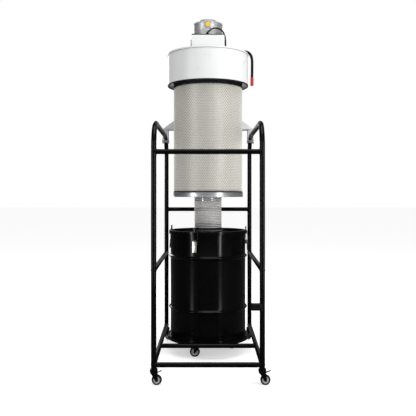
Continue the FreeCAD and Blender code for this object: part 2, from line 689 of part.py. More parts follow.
# ---------------------------------------------------------------- cable, drop tube, switch box
def cable_glands():
    """Where the cable leaves the motor's seal, where it enters the plenum, and the drop tube's elbow."""
    start, end, drop = CABLE_ROUTE[0], CABLE_ROUTE[-1], DROP_ROUTE[0]
    seal_top = BOX_TOP_Z + SEAL_H
    out = Vector(*DROP_ROUTE[1]) - Vector(*drop)
    tail = Vector(*drop) - out * (ELBOW_L / out.Length)
    elbow = fused([rod(ELBOW_R, tail, drop), Part.makeSphere(ELBOW_R, tail),
                   rod(ELBOW_R, (tail.x, tail.y, PLENUM_TOP_Z), tail)])
    elbow = elbow.cut(disc(PLENUM_R, PLENUM_TOP_Z - 2 * ELBOW_R, PLENUM_TOP_Z))
    cable = swept(cord_path("motor_cable", CABLE_ROUTE), CABLE_OD / 2)
    return Part.makeCompound([rod(GLAND_R, (start[0], start[1], seal_top), start).cut(
                                  disc(MOTOR_R, seal_top, MOTOR_TOP_Z)).cut(cable),
                              rod(GLAND_R, (end[0], end[1], PLENUM_TOP_Z), end).cut(cable),
                              elbow])


def drop_tube_tip():
    """Sleeve on the end of the drop tube, round at the bottom."""
    x, y, z = DROP_ROUTE[-1]
    sleeve = rod(DROP_TIP_R, (x, y, z - DROP_TIP_L + DROP_TIP_R), (x, y, z))
    return fused([sleeve, Part.makeSphere(DROP_TIP_R, Vector(x, y, z - DROP_TIP_L + DROP_TIP_R))])


def switch_box():
    """Small box held against the inner side of the front right post."""
    high_x = HALF_W
    low_x = HALF_W - TUBE_R - SWITCH_W
    box = block((low_x, -HALF_D - SWITCH_D / 2, SWITCH_Z - SWITCH_H / 2),
                (high_x, -HALF_D + SWITCH_D / 2, SWITCH_Z + SWITCH_H / 2))
    box = box.makeFillet(SWITCH_ROUND, box.Edges)
    box = box.cut(rod(TUBE_R, (HALF_W, -HALF_D, POST_FOOT_Z), (HALF_W, -HALF_D, STAND_TOP_Z - TOP_BEND_R)))
    return max(box.Solids, key=lambda s: s.Volume)


# ---------------------------------------------------------------- casters
def place_caster(shape, centre, trail_deg):
    """Moves a caster piece, modelled about the origin and trailing towards +X, to its place."""
    moved = shape.copy()
    moved.rotate(Vector(0, 0, 0), UP, trail_deg)
    moved.translate(Vector(centre[0], centre[1], 0))
    return moved


def caster_cup(c):
    """Fixed top of a caster: a swivel cup with its king pin."""
    cup_low = c["top_z"] - c["cup_h"]
    return fused([rod(c["cup_r"], (0, 0, cup_low), (0, 0, c["top_z"])),
                  rod(KING_PIN_R, (0, 0, cup_low - CROWN_GAP - CROWN_H), (0, 0, cup_low))])


def frame_caster_cup():
    top = FRAME_CASTER["top_z"]
    return fused([caster_cup(FRAME_CASTER), rod(TUBE_R - TUBE_WALL, (0, 0, top), (0, 0, top + PLUG_IN_POST))])


def fork(c):
    """Crown on the king pin, two cheeks and the axle with its heads."""
    crown_top = c["top_z"] - c["cup_h"] - CROWN_GAP
    crown_low = crown_top - CROWN_H
    radius = c["cup_r"] - CROWN_INSET
    cheek_in = c["half_w"] + FORK_GAP
    cheek_out = cheek_in + FORK_T
    trail, axle_z = c["trail"], c["wheel_r"]
    corners = [(-radius * CROWN_BACK, crown_low), (-radius * CROWN_BACK, crown_low + CROWN_H / 2), (radius, crown_low + CROWN_H / 2),
               (radius, crown_low), (trail + AXLE_BOSS_R, axle_z), (trail - AXLE_BOSS_R, axle_z)]
    pieces = [rod(radius, (0, 0, crown_low), (0, 0, crown_top))]
    for side in (LEFT, RIGHT):
        y = min(side * cheek_in, side * cheek_out)
        points = [Vector(x, y, z) for x, z in corners]
        pieces.append(Part.Face(Part.makePolygon(points + points[:1])).extrude(Vector(0, FORK_T, 0)))
        pieces.append(rod(AXLE_BOSS_R, (trail, y, axle_z), (trail, y + FORK_T, axle_z)))
    head = cheek_out + AXLE_HEAD_H
    pieces.append(rod(AXLE_R, (trail, -head, axle_z), (trail, head, axle_z)))
    for side in (LEFT, RIGHT):
        pieces.append(rod(AXLE_HEAD_R, (trail, side * cheek_out, axle_z), (trail, side * head, axle_z)))
    return fused(pieces).cut(rod(KING_PIN_R + RUNNING_FIT, (0, 0, crown_low), (0, 0, crown_top)))


def braked_fork(c):
    """The front forks also carry the pin of the brake pedal."""
    z = c["top_z"] - c["cup_h"] - PEDAL_PIN_DROP
    reach = c["half_w"] + FORK_GAP + FORK_T
    gap = block((PEDAL_PIN_X - 5, -PEDAL_HALF_W - 1, z - 6), (c["cup_r"] + 5, PEDAL_HALF_W + 1, z + 8))
    pin = rod(PEDAL_PIN_R, (PEDAL_PIN_X, -reach, z), (PEDAL_PIN_X, reach, z))
    return fused([fork(c).cut(gap), pin])


def brake_pedal(c):
    """Small foot lever on the fork's pin, rising outwards over the wheel."""
    z = c["top_z"] - c["cup_h"] - PEDAL_PIN_DROP
    hub = rod(PEDAL_PIN_R + PEDAL_T / 2, (PEDAL_PIN_X, -PEDAL_HALF_W, z), (PEDAL_PIN_X, PEDAL_HALF_W, z))
    end = (PEDAL_PIN_X + PEDAL_L, z + PEDAL_RISE)
    half = PEDAL_T / 2
    points = [Vector(PEDAL_PIN_X, -PEDAL_HALF_W, z - half), Vector(end[0], -PEDAL_HALF_W, end[1] - half),
              Vector(end[0], -PEDAL_HALF_W, end[1] + half), Vector(PEDAL_PIN_X, -PEDAL_HALF_W, z + half)]
    plate = Part.Face(Part.makePolygon(points + points[:1])).extrude(Vector(0, 2 * PEDAL_HALF_W, 0))
    bore = rod(PEDAL_PIN_R + RUNNING_FIT, (PEDAL_PIN_X, -PEDAL_HALF_W, z), (PEDAL_PIN_X, PEDAL_HALF_W, z))
    return fused([hub, plate]).cut(bore)


def wheel(c):
    """Wheel with rounded tread and a sunk web on each side, bored for its axle."""
    r, w, e = c["wheel_r"], c["half_w"], WHEEL_ROUND
    mid = e * (1 - math.sqrt(0.5))
    hub_r, rim_r, web = AXLE_BOSS_R, r * WHEEL_RIM_SHARE, w * WHEEL_WEB_SHARE
    bore = AXLE_R + RUNNING_FIT

    def half(sign):
        return [line((bore, sign * w), (hub_r, sign * w)), line((hub_r, sign * w), (hub_r + WEB_SLOPE, sign * web)),
                line((hub_r + WEB_SLOPE, sign * web), (rim_r - WEB_SLOPE, sign * web)), line((rim_r - WEB_SLOPE, sign * web), (rim_r, sign * w)),
                line((rim_r, sign * w), (r - e, sign * w)),
                bow((r - e, sign * w), (r - mid, sign * (w - mid)), (r, sign * (w - e)))]

    edges = half(1) + [line((r, w - e), (r, e - w))] + half(-1) + [line((bore, -w), (bore, w))]
    face = Part.Face(Part.Wire(Part.sortEdges(edges)[0]))
    solid = face.revolve(Vector(0, 0, 0), UP, 360)
    solid.rotate(Vector(0, 0, 0), Vector(1, 0, 0), 90)
    solid.translate(Vector(c["trail"], 0, r))
    return solid


def caster_places():
    """Name, centre, trail direction and whether it has a brake, for the stand's four casters."""
    return [("front_left", (-HALF_W, -HALF_D), FRONT_TRAIL_DEG, True),
            ("front_right", (HALF_W, -HALF_D), FRONT_TRAIL_DEG, True),
            ("rear_left", (-HALF_W, HALF_D), REAR_LEFT_TRAIL_DEG, False),
            ("rear_right", (HALF_W, HALF_D), REAR_RIGHT_TRAIL_DEG, False)]


def dolly_places():
    places = []
    for number, deg in enumerate(DOLLY_CASTER_DEGS, start=1):
        a = math.radians(deg)
        places.append((f"dolly_{number}", (DOLLY_CASTER_R * math.sin(a), STACK_Y - DOLLY_CASTER_R * math.cos(a))))
    return places


def build_casters():
    cups = [place_caster(frame_caster_cup(), centre, 0) for _, centre, _, _ in caster_places()]
    save("caster_stems", Part.makeCompound(cups))
    for name, centre, trail, braked in caster_places():
        body = braked_fork(FRAME_CASTER) if braked else fork(FRAME_CASTER)
        save("fork_" + name, place_caster(body, centre, trail))
        save("wheel_" + name, place_caster(wheel(FRAME_CASTER), centre, trail))
        if braked:
            save("brake_pedal_" + name, place_caster(brake_pedal(FRAME_CASTER), centre, trail))
    for name, centre in dolly_places():
        save("fork_" + name, place_caster(fork(DOLLY_CASTER), centre, DOLLY_TRAIL_DEG))
        save("wheel_" + name, place_caster(wheel(DOLLY_CASTER), centre, DOLLY_TRAIL_DEG))


def build_latches():
    save("latch_plates", latch_plates())
    for i in range(LATCH_COUNT):
        save(f"latch_lever_{i + 1}", place_latch(latch_lever(), i))
        save(f"latch_loop_{i + 1}", place_latch(latch_loop(), i))


os.makedirs("parts", exist_ok=True)
save("side_frame_left", side_frame(LEFT))
save("side_frame_right", side_frame(RIGHT))
save("side_rails", side_rails())
save("front_top_bar", cross_bar(-HALF_D, FRONT_TOP_BAR_Z, False))
save("rear_cross_bar", cross_bar(HALF_D, REAR_BAR_Z, False))
save("low_cross_bars", Part.makeCompound([cross_bar(y, LOW_RAIL_Z, True) for y in (-HALF_D, STOP_BAR_Y)]))
save("mounting_beam", mounting_beam())
save("beam_clamps", beam_clamps())
save("plenum_shell", plenum_shell())
save("plenum_top", plenum_top())
save("plenum_floor", plenum_floor())
save("skirt_trim", skirt_trim())
save("inlet_spigot", inlet_spigot())
save("cyclone_body", cyclone_body())
save("filter_media", filter_media())
save("filter_screen", filter_screen())
save("filter_seals", filter_seals())
save("filter_pan", filter_pan())
save("waste_hose", waste_hose())
save("hose_clamp", hose_clamp())
save("drum_lid", drum_lid())
save("drum_body", drum_body())
save("drum_bottom", drum_bottom())
save("dolly_ring", dolly_ring())
save("motor_box", motor_box())
save("motor_seal", motor_seal())
save("motor_body", motor_body())
save("motor_plug", motor_plug())
save("box_catches", box_catches())
save("cable_glands", cable_glands())
save("motor_cable", swept(cord_path("motor_cable", CABLE_ROUTE), CABLE_OD / 2))
save("drop_tube", swept(cord_path("drop_tube", DROP_ROUTE), DROP_OD / 2))
save("drop_tube_tip", drop_tube_tip())
save("switch_box", switch_box())
build_latches()
build_casters()
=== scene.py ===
# %% [markdown]
# # A mobile cyclone dust collector
# The real machine is a steel drum on a dolly, a ring filter with a cyclone inside it, a white
# plenum and a vacuum motor, all hung in a black tubular stand on casters. The CAD frame already
# holds every part at its true size. This lesson dresses that frame: turned sheet metal, pleated
# cloth, expanded mesh, a ribbed hose, wire latches and the finishes of each.

# %% Load the frame
import math

import bmesh
import bpy
import numpy as np
from mathutils import Matrix, Vector


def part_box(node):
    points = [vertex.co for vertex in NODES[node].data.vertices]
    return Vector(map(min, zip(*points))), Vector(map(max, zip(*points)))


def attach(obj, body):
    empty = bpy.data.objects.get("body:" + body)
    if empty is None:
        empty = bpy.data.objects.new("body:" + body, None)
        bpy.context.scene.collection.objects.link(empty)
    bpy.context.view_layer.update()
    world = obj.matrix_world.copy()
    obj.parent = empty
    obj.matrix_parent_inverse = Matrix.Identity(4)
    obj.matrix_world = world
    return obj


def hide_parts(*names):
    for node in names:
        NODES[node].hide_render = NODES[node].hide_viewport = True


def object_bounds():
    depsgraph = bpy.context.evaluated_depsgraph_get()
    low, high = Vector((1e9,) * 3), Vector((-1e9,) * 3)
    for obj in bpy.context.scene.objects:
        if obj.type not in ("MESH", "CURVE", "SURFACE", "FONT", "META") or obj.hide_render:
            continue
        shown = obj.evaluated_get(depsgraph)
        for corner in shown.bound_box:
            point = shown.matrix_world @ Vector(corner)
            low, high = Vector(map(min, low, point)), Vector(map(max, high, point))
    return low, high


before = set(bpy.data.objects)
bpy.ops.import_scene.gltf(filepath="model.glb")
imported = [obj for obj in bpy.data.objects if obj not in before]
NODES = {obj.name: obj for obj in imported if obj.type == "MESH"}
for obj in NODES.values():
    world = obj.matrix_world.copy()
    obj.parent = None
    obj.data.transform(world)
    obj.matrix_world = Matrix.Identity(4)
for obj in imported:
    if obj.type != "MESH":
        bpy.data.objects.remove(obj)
CAD_LOW, CAD_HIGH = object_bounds()
MM = 0.001
STACK_Y = sum(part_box("motor_seal")[i].y for i in (0, 1)) / 2
print("frame", len(NODES), "nodes; stack axis at y", round(STACK_Y, 4))

# %% [markdown]
# ## Camera
# A product picture of a tall machine is taken from far back, level, at about waist height, so
# that uprights stay upright. The lens is a normal one, and a small shift of the sensor frames the
# whole machine while the camera stays level.

# %% Camera
CAMERA_BACK = 3.5775
CAMERA_HEIGHT = 1.0016
LENS_MM = 51.06
SENSOR_SHIFT = -0.0337

camera_data = bpy.data.cameras.new("camera")
camera_data.lens = LENS_MM
camera_data.sensor_width = 36
camera_data.shift_y = SENSOR_SHIFT
camera = bpy.data.objects.new("camera", camera_data)
camera.location = (0.0, -CAMERA_BACK, CAMERA_HEIGHT)
camera.rotation_euler = (math.radians(90), 0, 0)
bpy.context.scene.collection.objects.link(camera)
bpy.context.scene.camera = camera
print("camera", tuple(round(v, 3) for v in camera.location), "lens", LENS_MM)

# %% [markdown]
# ## A helper for pieces
# Everything below is made from lists of points and faces, so one function turns those into an
# object, gives it its finish, and fixes it to the body that carries it. Soft shading is used on
# every face, and edges that turn by more than a set angle are marked sharp: that is how a real
# turned part looks, smooth round its curve and crisp at its corners.

# %% Piece helper
SHARP_DEG = 38


def mark_sharp(mesh, degrees=SHARP_DEG):
    """Shades every face smooth and marks the edges that turn by more than an angle."""
    bm = bmesh.new()
    bm.from_mesh(mesh)
    bmesh.ops.recalc_face_normals(bm, faces=bm.faces)
    for face in bm.faces:
        face.smooth = True
    for edge in bm.edges:
        edge.smooth = edge.calc_face_angle(0) < math.radians(degrees)
    bm.to_mesh(mesh)
    bm.free()


def piece(name, verts, faces, finish, body="machine", slot=None, stands_for=()):
    """A new mesh object, shaded, finished, and riding on its body."""
    mesh = bpy.data.meshes.new(name)
    mesh.from_pydata([tuple(v) for v in verts], [], faces)
    mesh.validate()
    mark_sharp(mesh)
    made = bpy.data.objects.new(name, mesh)
    bpy.context.scene.collection.objects.link(made)
    dress(made, finish, body, stands_for)
    return made


def dress(made, finish, body, stands_for=()):
    """Gives an object its finish, its body and the CAD nodes that it stands in for."""
    made.data.materials.clear()
    made.data.materials.append(finish)
    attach(made, body)
    if stands_for:
        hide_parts(*stands_for)


def joined(parts):
    """Joins (verts, faces) pairs into one pair."""
    verts, faces = [], []
    for part_verts, part_faces in parts:
        start = len(verts)
        verts += list(part_verts)
        faces += [tuple(i + start for i in face) for face in part_faces]
    return verts, faces


# %% [markdown]
# ## Turning
# Drum, lid, plenum, pan and motor are all pressed or spun round one upright axis. In Blender a
# turned part is a closed outline of (radius, height) pairs, swept round in many steps. Corners of
# real sheet are never sharp, so the outline is rounded first, with a few points on each corner.

# %% Turning helpers
def rounded(outline, radius, steps=4):
    """Replaces each corner of a closed (radius, height) outline by a small round."""
    out = []
    count = len(outline)
    for i, here in enumerate(outline):
        p = Vector(here)
        a, b = Vector(outline[i - 1]) - p, Vector(outline[(i + 1) % count]) - p
        cut = min(radius, 0.45 * a.length, 0.45 * b.length)
        if here[0] <= 1e-6 or cut < 1e-5 or abs(a.normalized().dot(b.normalized())) > 0.995:
            out.append((p.x, p.y))
            continue
        start, end = p + a.normalized() * cut, p + b.normalized() * cut
        for k in range(steps + 1):
            t = k / steps
            q = start * (1 - t) ** 2 + p * 2 * t * (1 - t) + end * t * t
            out.append((q.x, q.y))
    return out


def turned(outline, steps=160, centre=(0.0, None)):
    """Sweeps a closed (radius, height) outline in metres round an upright axis."""
    cx, cy = centre[0], STACK_Y if centre[1] is None else centre[1]
    verts, faces = [], []
    count = len(outline)
    for k in range(steps):
        a = 2 * math.pi * k / steps
        verts += [(cx + r * math.sin(a), cy - r * math.cos(a), z) for r, z in outline]
    for k in range(steps):
        here, there = k * count, (k + 1) % steps * count
        for i in range(count):
            j = (i + 1) % count
            faces.append((here + i, there + i, there + j, here + j))
    return verts, faces


def merged(verts, faces, distance=1e-6):
    """Welds points that fall together, such as those on the axis."""
    bm = bmesh.new()
    mesh = bpy.data.meshes.new("weld")
    mesh.from_pydata(verts, [], faces)
    bm.from_mesh(mesh)
    bmesh.ops.remove_doubles(bm, verts=bm.verts, dist=distance)
    bmesh.ops.dissolve_degenerate(bm, edges=bm.edges, dist=distance)
    bm.verts.index_update()
    result = [tuple(v.co) for v in bm.verts], [tuple(v.index for v in f.verts) for f in bm.faces]
    bm.free()
    bpy.data.meshes.remove(mesh)
    return result


def on_stack(r, a, z):
    """The point at radius r and angle a round the stack's axis, counted from the front."""
    return (r * math.sin(a), STACK_Y - r * math.cos(a), z)


def mm(points):
    """(radius, height) pairs from millimetres to metres."""
    return [(r * MM, z * MM) for r, z in points]


# %% [markdown]
# ## Small shapes
# Screws, pins and washers are the same few shapes over and over: a bar with softened ends between
# two points, and a six-sided head. A wire is a round section carried along a list of points.

# %% Small shapes
def bar(start, end, radius, steps=24, soften=0.0006, sides=None):
    """A round (or many-sided) bar between two points, with softened ends."""
    start, end = Vector(start), Vector(end)
    along = (end - start).normalized()
    side = along.orthogonal().normalized()
    other = along.cross(side)
    count = sides or steps
    soft = min(soften, radius * 0.4, (end - start).length * 0.4)
    rings = [(0, radius - soft), (soft, radius), ((end - start).length - soft, radius),
             ((end - start).length, radius - soft)]
    verts, faces = [], []
    for along_by, r in rings:
        for k in range(count):
            a = 2 * math.pi * k / count
            verts.append(start + along * along_by + side * (r * math.cos(a)) + other * (r * math.sin(a)))
    for level in range(len(rings) - 1):
        for k in range(count):
            n = (k + 1) % count
            low, high = level * count, (level + 1) * count
            faces.append((low + k, low + n, high + n, high + k))
    faces.append(tuple(range(count))[::-1])
    faces.append(tuple(range(3 * count, 4 * count)))
    return verts, faces


def wire(points, radius, steps=12, closed=False):
    """A round wire carried along a list of points without twisting."""
    pts = [Vector(p) for p in points]
    count = len(pts)
    verts, faces = [], []
    side = None
    for i, p in enumerate(pts):
        before = pts[i - 1] if (closed or i > 0) else p
        after = pts[(i + 1) % count] if (closed or i < count - 1) else p
        along = (after - before).normalized()
        side = along.orthogonal() if side is None else side - along * side.dot(along)
        side.normalize()
        other = along.cross(side)
        for k in range(steps):
            a = 2 * math.pi * k / steps
            verts.append(p + side * (radius * math.cos(a)) + other * (radius * math.sin(a)))
    spans = count if closed else count - 1
    for i in range(spans):
        low, high = i * steps, (i + 1) % count * steps
        for k in range(steps):
            n = (k + 1) % steps
            faces.append((low + k, low + n, high + n, high + k))
    if not closed:
        faces.append(tuple(range(steps))[::-1])
        faces.append(tuple(range((count - 1) * steps, count * steps)))
    return verts, faces


def softened(node, width, segments=2, degrees=35):
    """A copy of a CAD node's mesh with its sharp edges rounded, for pieces cut from plate."""
    source = NODES[node].data
    bm = bmesh.new()
    bm.from_mesh(source)
    bmesh.ops.remove_doubles(bm, verts=bm.verts, dist=1e-6)
    bmesh.ops.dissolve_limit(bm, angle_limit=math.radians(1.5), verts=bm.verts, edges=bm.edges)
    sharp = [e for e in bm.edges
             if len(e.link_faces) == 2 and e.calc_face_angle(0) > math.radians(degrees)]
    bmesh.ops.bevel(bm, geom=sharp, offset=width, segments=segments, profile=0.6, affect="EDGES",
                    clamp_overlap=True)
    bm.verts.index_update()
    result = [tuple(v.co) for v in bm.verts], [tuple(v.index for v in f.verts) for f in bm.faces]
    bm.free()
    return result


def spun(name, outline, round_mm, finish, slot, node, steps=240):
    """A turned piece with rounded corners, standing in for one CAD node."""
    return piece(name, *turned(rounded(outline, round_mm * MM), steps), finish, slot=slot, stands_for=[node])


def plate(name, node, width_mm, finish, slot, body="machine", segments=2):
    """A CAD node's own mesh with rounded edges, standing in for that node."""
    return piece(name, *softened(node, width_mm * MM, segments), finish, body, slot, [node])


# %% [markdown]
# ## Finishes
# Each finish starts from what the real material is. Colours are written as the sRGB hex values a
# paint chart would give and turned to linear light by one function. One other function adds a
# shader node with its settings and links, so that each finish below reads as a short recipe.

# %% Finish helpers
def linear(hex_colour):
    channels = [int(hex_colour[i:i + 2], 16) / 255 for i in (1, 3, 5)]
    return [c / 12.92 if c <= 0.04045 else ((c + 0.055) / 1.055) ** 2.4 for c in channels] + [1.0]


def add(tree, kind, settings=None, inputs=None):
    """Adds a node; inputs are plain values, or another node's output to link from."""
    made = tree.nodes.new(kind)
    for key, value in (settings or {}).items():
        setattr(made, key, value)
    for key, value in (inputs or {}).items():
        if isinstance(value, bpy.types.NodeSocket):
            tree.links.new(value, made.inputs[key])
        else:
            made.inputs[key].default_value = value
    return made


def finish(name, colour, metallic, roughness, **shader):
    """A new material with one Principled shader; returns material, its tree and the shader."""
    made = bpy.data.materials.new(name)
    made.use_nodes = True
    tree = made.node_tree
    surface = tree.nodes["Principled BSDF"]
    surface.inputs["Base Color"].default_value = linear(colour)
    surface.inputs["Metallic"].default_value = metallic
    surface.inputs["Roughness"].default_value = roughness
    for key, value in shader.items():
        surface.inputs[key.replace("_", " ")].default_value = value
    return made, tree, surface


def place(tree):
    """Object coordinates in metres: they stay the same size on every piece."""
    return add(tree, "ShaderNodeTexCoord").outputs["Object"]


def lumps(tree, where, size_mm, detail):
    """Plain noise with lumps of a real size."""
    return add(tree, "ShaderNodeTexNoise", None,
               {"Vector": where, "Scale": 1000.0 / size_mm, "Detail": detail})


def mottle(tree, surface, where, size_mm, low, high, detail=3.0):
    """Lets roughness wander between two values in patches of a real size."""
    noise = add(tree, "ShaderNodeTexNoise", None,
                {"Vector": where, "Scale": 1000.0 / size_mm, "Detail": detail, "Roughness": 0.55})
    spread = add(tree, "ShaderNodeMapRange", None,
                 {"Value": noise.outputs["Fac"], "From Min": 0.3, "From Max": 0.7,
                  "To Min": low, "To Max": high})
    tree.links.new(spread.outputs["Result"], surface.inputs["Roughness"])
    return noise


def two_tone(tree, surface, factor, dark, light):
    """Colour between two shades, by a factor. The mix node's colour sockets come after its others."""
    blend = add(tree, "ShaderNodeMix", {"data_type": "RGBA"}, {})
    tree.links.new(factor, blend.inputs[0])
    blend.inputs[6].default_value = linear(dark)
    blend.inputs[7].default_value = linear(light)
    tree.links.new(blend.outputs[2], surface.inputs["Base Color"])


def dented(tree, surface, height, depth_mm, strength=1.0):
    """Bump whose depth is a real one."""
    bump = add(tree, "ShaderNodeBump", None,
               {"Height": height, "Distance": depth_mm * MM, "Strength": strength})
    tree.links.new(bump.outputs["Normal"], surface.inputs["Normal"])


# %% [markdown]
# ### Powder coat
# The stand, drum, lid and dolly are steel under gloss black polyester powder coat. The powder
# melts into a film that is smooth but not flat: it has a faint orange peel, ripples a couple of
# millimetres across and a few microns deep. The eye reads it as a gloss with slightly wobbly
# highlights. Its specular level is set low, so that the black stays deep in a bright room. The
# plenum and motor box carry the same coat in white. The beam carries the white coat darkened to
# light grey: painted shade, for the shade it sits in behind the filter.

# %% Powder coats
PEEL_MM = 2.2


def powder_coat(name, colour, roughness, peel_um=14, wear=None, gloss=0.5):
    made, tree, surface = finish(name, colour, 0.0, roughness, IOR=1.5, Specular_IOR_Level=gloss)
    where = place(tree)
    peel = lumps(tree, where, PEEL_MM, 1.5)
    dented(tree, surface, peel.outputs["Fac"], peel_um / 1000.0, 0.6)
    haze = mottle(tree, surface, where, 60, roughness * 0.9, roughness * 1.12)
    if wear:
        two_tone(tree, surface, haze.outputs["Fac"], colour, wear)
    return made


BLACK_COAT = powder_coat("gloss_black_powder_coat", "#040405", 0.14, peel_um=4, wear="#070708", gloss=0.16)
WHITE_COAT = powder_coat("gloss_white_powder_coat", "#E6E7E7", 0.3, peel_um=6, wear="#EAEBEB", gloss=0.25)
WHITE_COAT_PAINTED_SHADE = powder_coat("white_coat_painted_shade", "#D3D5D6", 0.32, wear="#DCDDDE")
print("powder coats", PEEL_MM, "mm peel")

# %% [markdown]
# ### Bare and plated metals
# The motor can is spun aluminium: the tool leaves fine rings round the axis. The cyclone and its
# inlet are galvanised sheet with the faint patchwork of zinc crystals, and the end pan is polished
# tinplate. Levers and catches are nickel plate, smoother and a little warm, and the beam's clamps
# are bright zinc plate. Plated pieces are full metals. The can, the sheet and the pan are mixed with
# a plain coat, which keeps them light in a dim surround. The mesh is bright steel painted near-white
# and almost matt: that white is a painted highlight, for the light its metal would reflect.

# %% Metals
def rings_round_axis(tree, where, pitch_mm):
    """Fine turning rings: noise that is stretched round the stack's axis."""
    parts = add(tree, "ShaderNodeSeparateXYZ", None, {"Vector": where})
    away_y = add(tree, "ShaderNodeMath", {"operation": "SUBTRACT"}, {0: parts.outputs["Y"], 1: STACK_Y})
    flat = add(tree, "ShaderNodeCombineXYZ", None, {"X": parts.outputs["X"], "Y": away_y.outputs["Value"]})
    radius = add(tree, "ShaderNodeVectorMath", {"operation": "LENGTH"}, {0: flat.outputs["Vector"]})
    lines = add(tree, "ShaderNodeCombineXYZ", None, {"X": radius.outputs["Value"], "Y": parts.outputs["Z"]})
    return lumps(tree, lines.outputs["Vector"], pitch_mm, 2.0)


def spun_aluminium():
    made, tree, surface = finish("spun_aluminium", "#D2D4D6", 0.7, 0.3, Anisotropic=0.35)
    where = place(tree)
    turning = rings_round_axis(tree, where, 1.6)
    dented(tree, surface, turning.outputs["Fac"], 0.02, 0.5)
    mottle(tree, surface, where, 25, 0.3, 0.42)
    return made


def galvanised(name, colour, low, high):
    made, tree, surface = finish(name, colour, 0.85, (low + high) / 2)
    where = place(tree)
    spangle = add(tree, "ShaderNodeTexVoronoi", {"feature": "F1"}, {"Vector": where, "Scale": 1000.0 / 14})
    tone = add(tree, "ShaderNodeSeparateColor", None, {"Color": spangle.outputs["Color"]})
    spread = add(tree, "ShaderNodeMapRange", None,
                 {"Value": tone.outputs["Red"], "To Min": low, "To Max": high})
    tree.links.new(spread.outputs["Result"], surface.inputs["Roughness"])
    ripple = lumps(tree, where, 45, 1.0)
    dented(tree, surface, ripple.outputs["Fac"], 0.35, 0.35)
    return made


def plated(name, colour, low, high, grain_mm=3.0, metallic=1.0):
    made, tree, surface = finish(name, colour, metallic, (low + high) / 2)
    where = place(tree)
    grain = mottle(tree, surface, where, grain_mm, low, high)
    dented(tree, surface, grain.outputs["Fac"], 0.01, 0.4)
    return made


ALUMINIUM = spun_aluminium()
GALVANISED = galvanised("bright_galvanised_sheet", "#D2D5D7", 0.16, 0.28)
PAN_STEEL = plated("polished_tinplate", "#CDD0D2", 0.26, 0.36, grain_mm=30.0, metallic=0.85)
ZINC = plated("bright_zinc_plate", "#BFC2C4", 0.2, 0.32)
LOOP_WIRE = plated("oiled_spring_wire", "#4A4A48", 0.25, 0.4)
NICKEL = plated("nickel_plate", "#C8C5BD", 0.14, 0.24)
# The mesh is painted near-white and almost matt: a painted highlight standing in for the light its bright
# steel reflects.
MESH_PAINTED_HIGHLIGHT = plated("steel_mesh_painted_highlight", "#FCFAF0", 0.36, 0.5, metallic=0.1)
print("metals made")

# %% [markdown]
# ### Rubber, plastic and cloth
# Seals and the cable are EPDM rubber, a soft near-black with hardly any shine. Caster treads are
# the same family but a little smoother. The plug, hose clamp, glands, switch box and pedals are
# moulded ABS with a fine spark-eroded grain. The filter is spun-bonded polyester, a felt of fibres
# that scatters light, so it is rough, slightly fuzzy (a touch of sheen) and mottled with dust. Its
# colour is set darker than the real off-white felt: painted shade, for the shade it lies in behind
# the mesh.

# %% Rubber, plastic and cloth
def moulded(name, colour, roughness, grain_mm, depth_mm, wear=None, **shader):
    made, tree, surface = finish(name, colour, 0.0, roughness, **shader)
    where = place(tree)
    grain = lumps(tree, where, grain_mm, 4.0)
    dented(tree, surface, grain.outputs["Fac"], depth_mm, 0.5)
    haze = mottle(tree, surface, where, 18, roughness * 0.85, min(1.0, roughness * 1.2))
    if wear:
        two_tone(tree, surface, haze.outputs["Fac"], colour, wear)
    return made


RUBBER = moulded("epdm_rubber", "#0C0C0C", 0.6, 0.9, 0.03, "#121212", IOR=1.52, Specular_IOR_Level=0.25)
# A grey line under the plenum's lip: painted shade in the joint there.
JOINT_SHADE_GREY = moulded("grey_painted_joint_shade", "#5F6162", 0.6, 0.9, 0.02, "#838586", IOR=1.52)
CABLE_RUBBER = moulded("soft_cable_rubber", "#080809", 0.42, 1.2, 0.02, "#0E0E0F", IOR=1.52,
                       Specular_IOR_Level=0.2)
TREAD = moulded("black_caster_tread", "#0B0B0C", 0.5, 1.5, 0.04, "#141415", IOR=1.5, Specular_IOR_Level=0.25)
HUB_PLASTIC = moulded("grey_nylon_hub", "#A9ABAC", 0.4, 1.2, 0.02, "#B5B7B8", IOR=1.53)
BLACK_ABS = moulded("black_abs", "#09090A", 0.38, 0.8, 0.02, "#0F0F10", IOR=1.53, Specular_IOR_Level=0.2)
RED_VINYL = moulded("red_vinyl", "#B3161B", 0.3, 2.0, 0.01, "#C41F22", IOR=1.53)
YELLOW_ABS = moulded("yellow_abs", "#E9C21D", 0.35, 1.0, 0.015, "#F2CE2C", IOR=1.53)


def spun_polyester():
    made, tree, surface = finish("polyester_felt_painted_shade", "#A3A096", 0.0, 0.9,
                                 Sheen_Weight=0.25, Sheen_Roughness=0.5)
    where = place(tree)
    fibres = lumps(tree, where, 1.2, 6.0)
    dented(tree, surface, fibres.outputs["Fac"], 0.2, 0.5)
    dust = lumps(tree, where, 70, 4.0)
    # Both tones are darker than the real off-white felt: painted shade behind the mesh. The patches between
    # them are dust.
    two_tone(tree, surface, dust.outputs["Fac"], "#94918A", "#B2AFA6")
    return made


FELT = spun_polyester()

# %% [markdown]
# ### Clear hose
# The waste hose is clear polyurethane over a coil of stiff wire. The film is so thin that light
# goes nearly straight through, so it is blended by alpha over what lies behind, with a little haze
# on its surface. The rib over the wire is thicker and milky, and transmits a little.

# %% Clear hose
def clear_polyurethane():
    made, tree, surface = finish("clear_polyurethane", "#DAD8D6", 0.0, 0.16, IOR=1.5, Alpha=0.34)
    where = place(tree)
    haze = mottle(tree, surface, where, 22, 0.1, 0.26)
    dented(tree, surface, haze.outputs["Fac"], 0.3, 0.4)
    return made


CLEAR_HOSE = clear_polyurethane()
HOSE_RIB = moulded("hose_rib_polyurethane", "#F4F2F0", 0.22, 3.0, 0.01, "#FBFAF9", IOR=1.5,
                   Transmission_Weight=0.25)
print("finishes", len(bpy.data.materials))

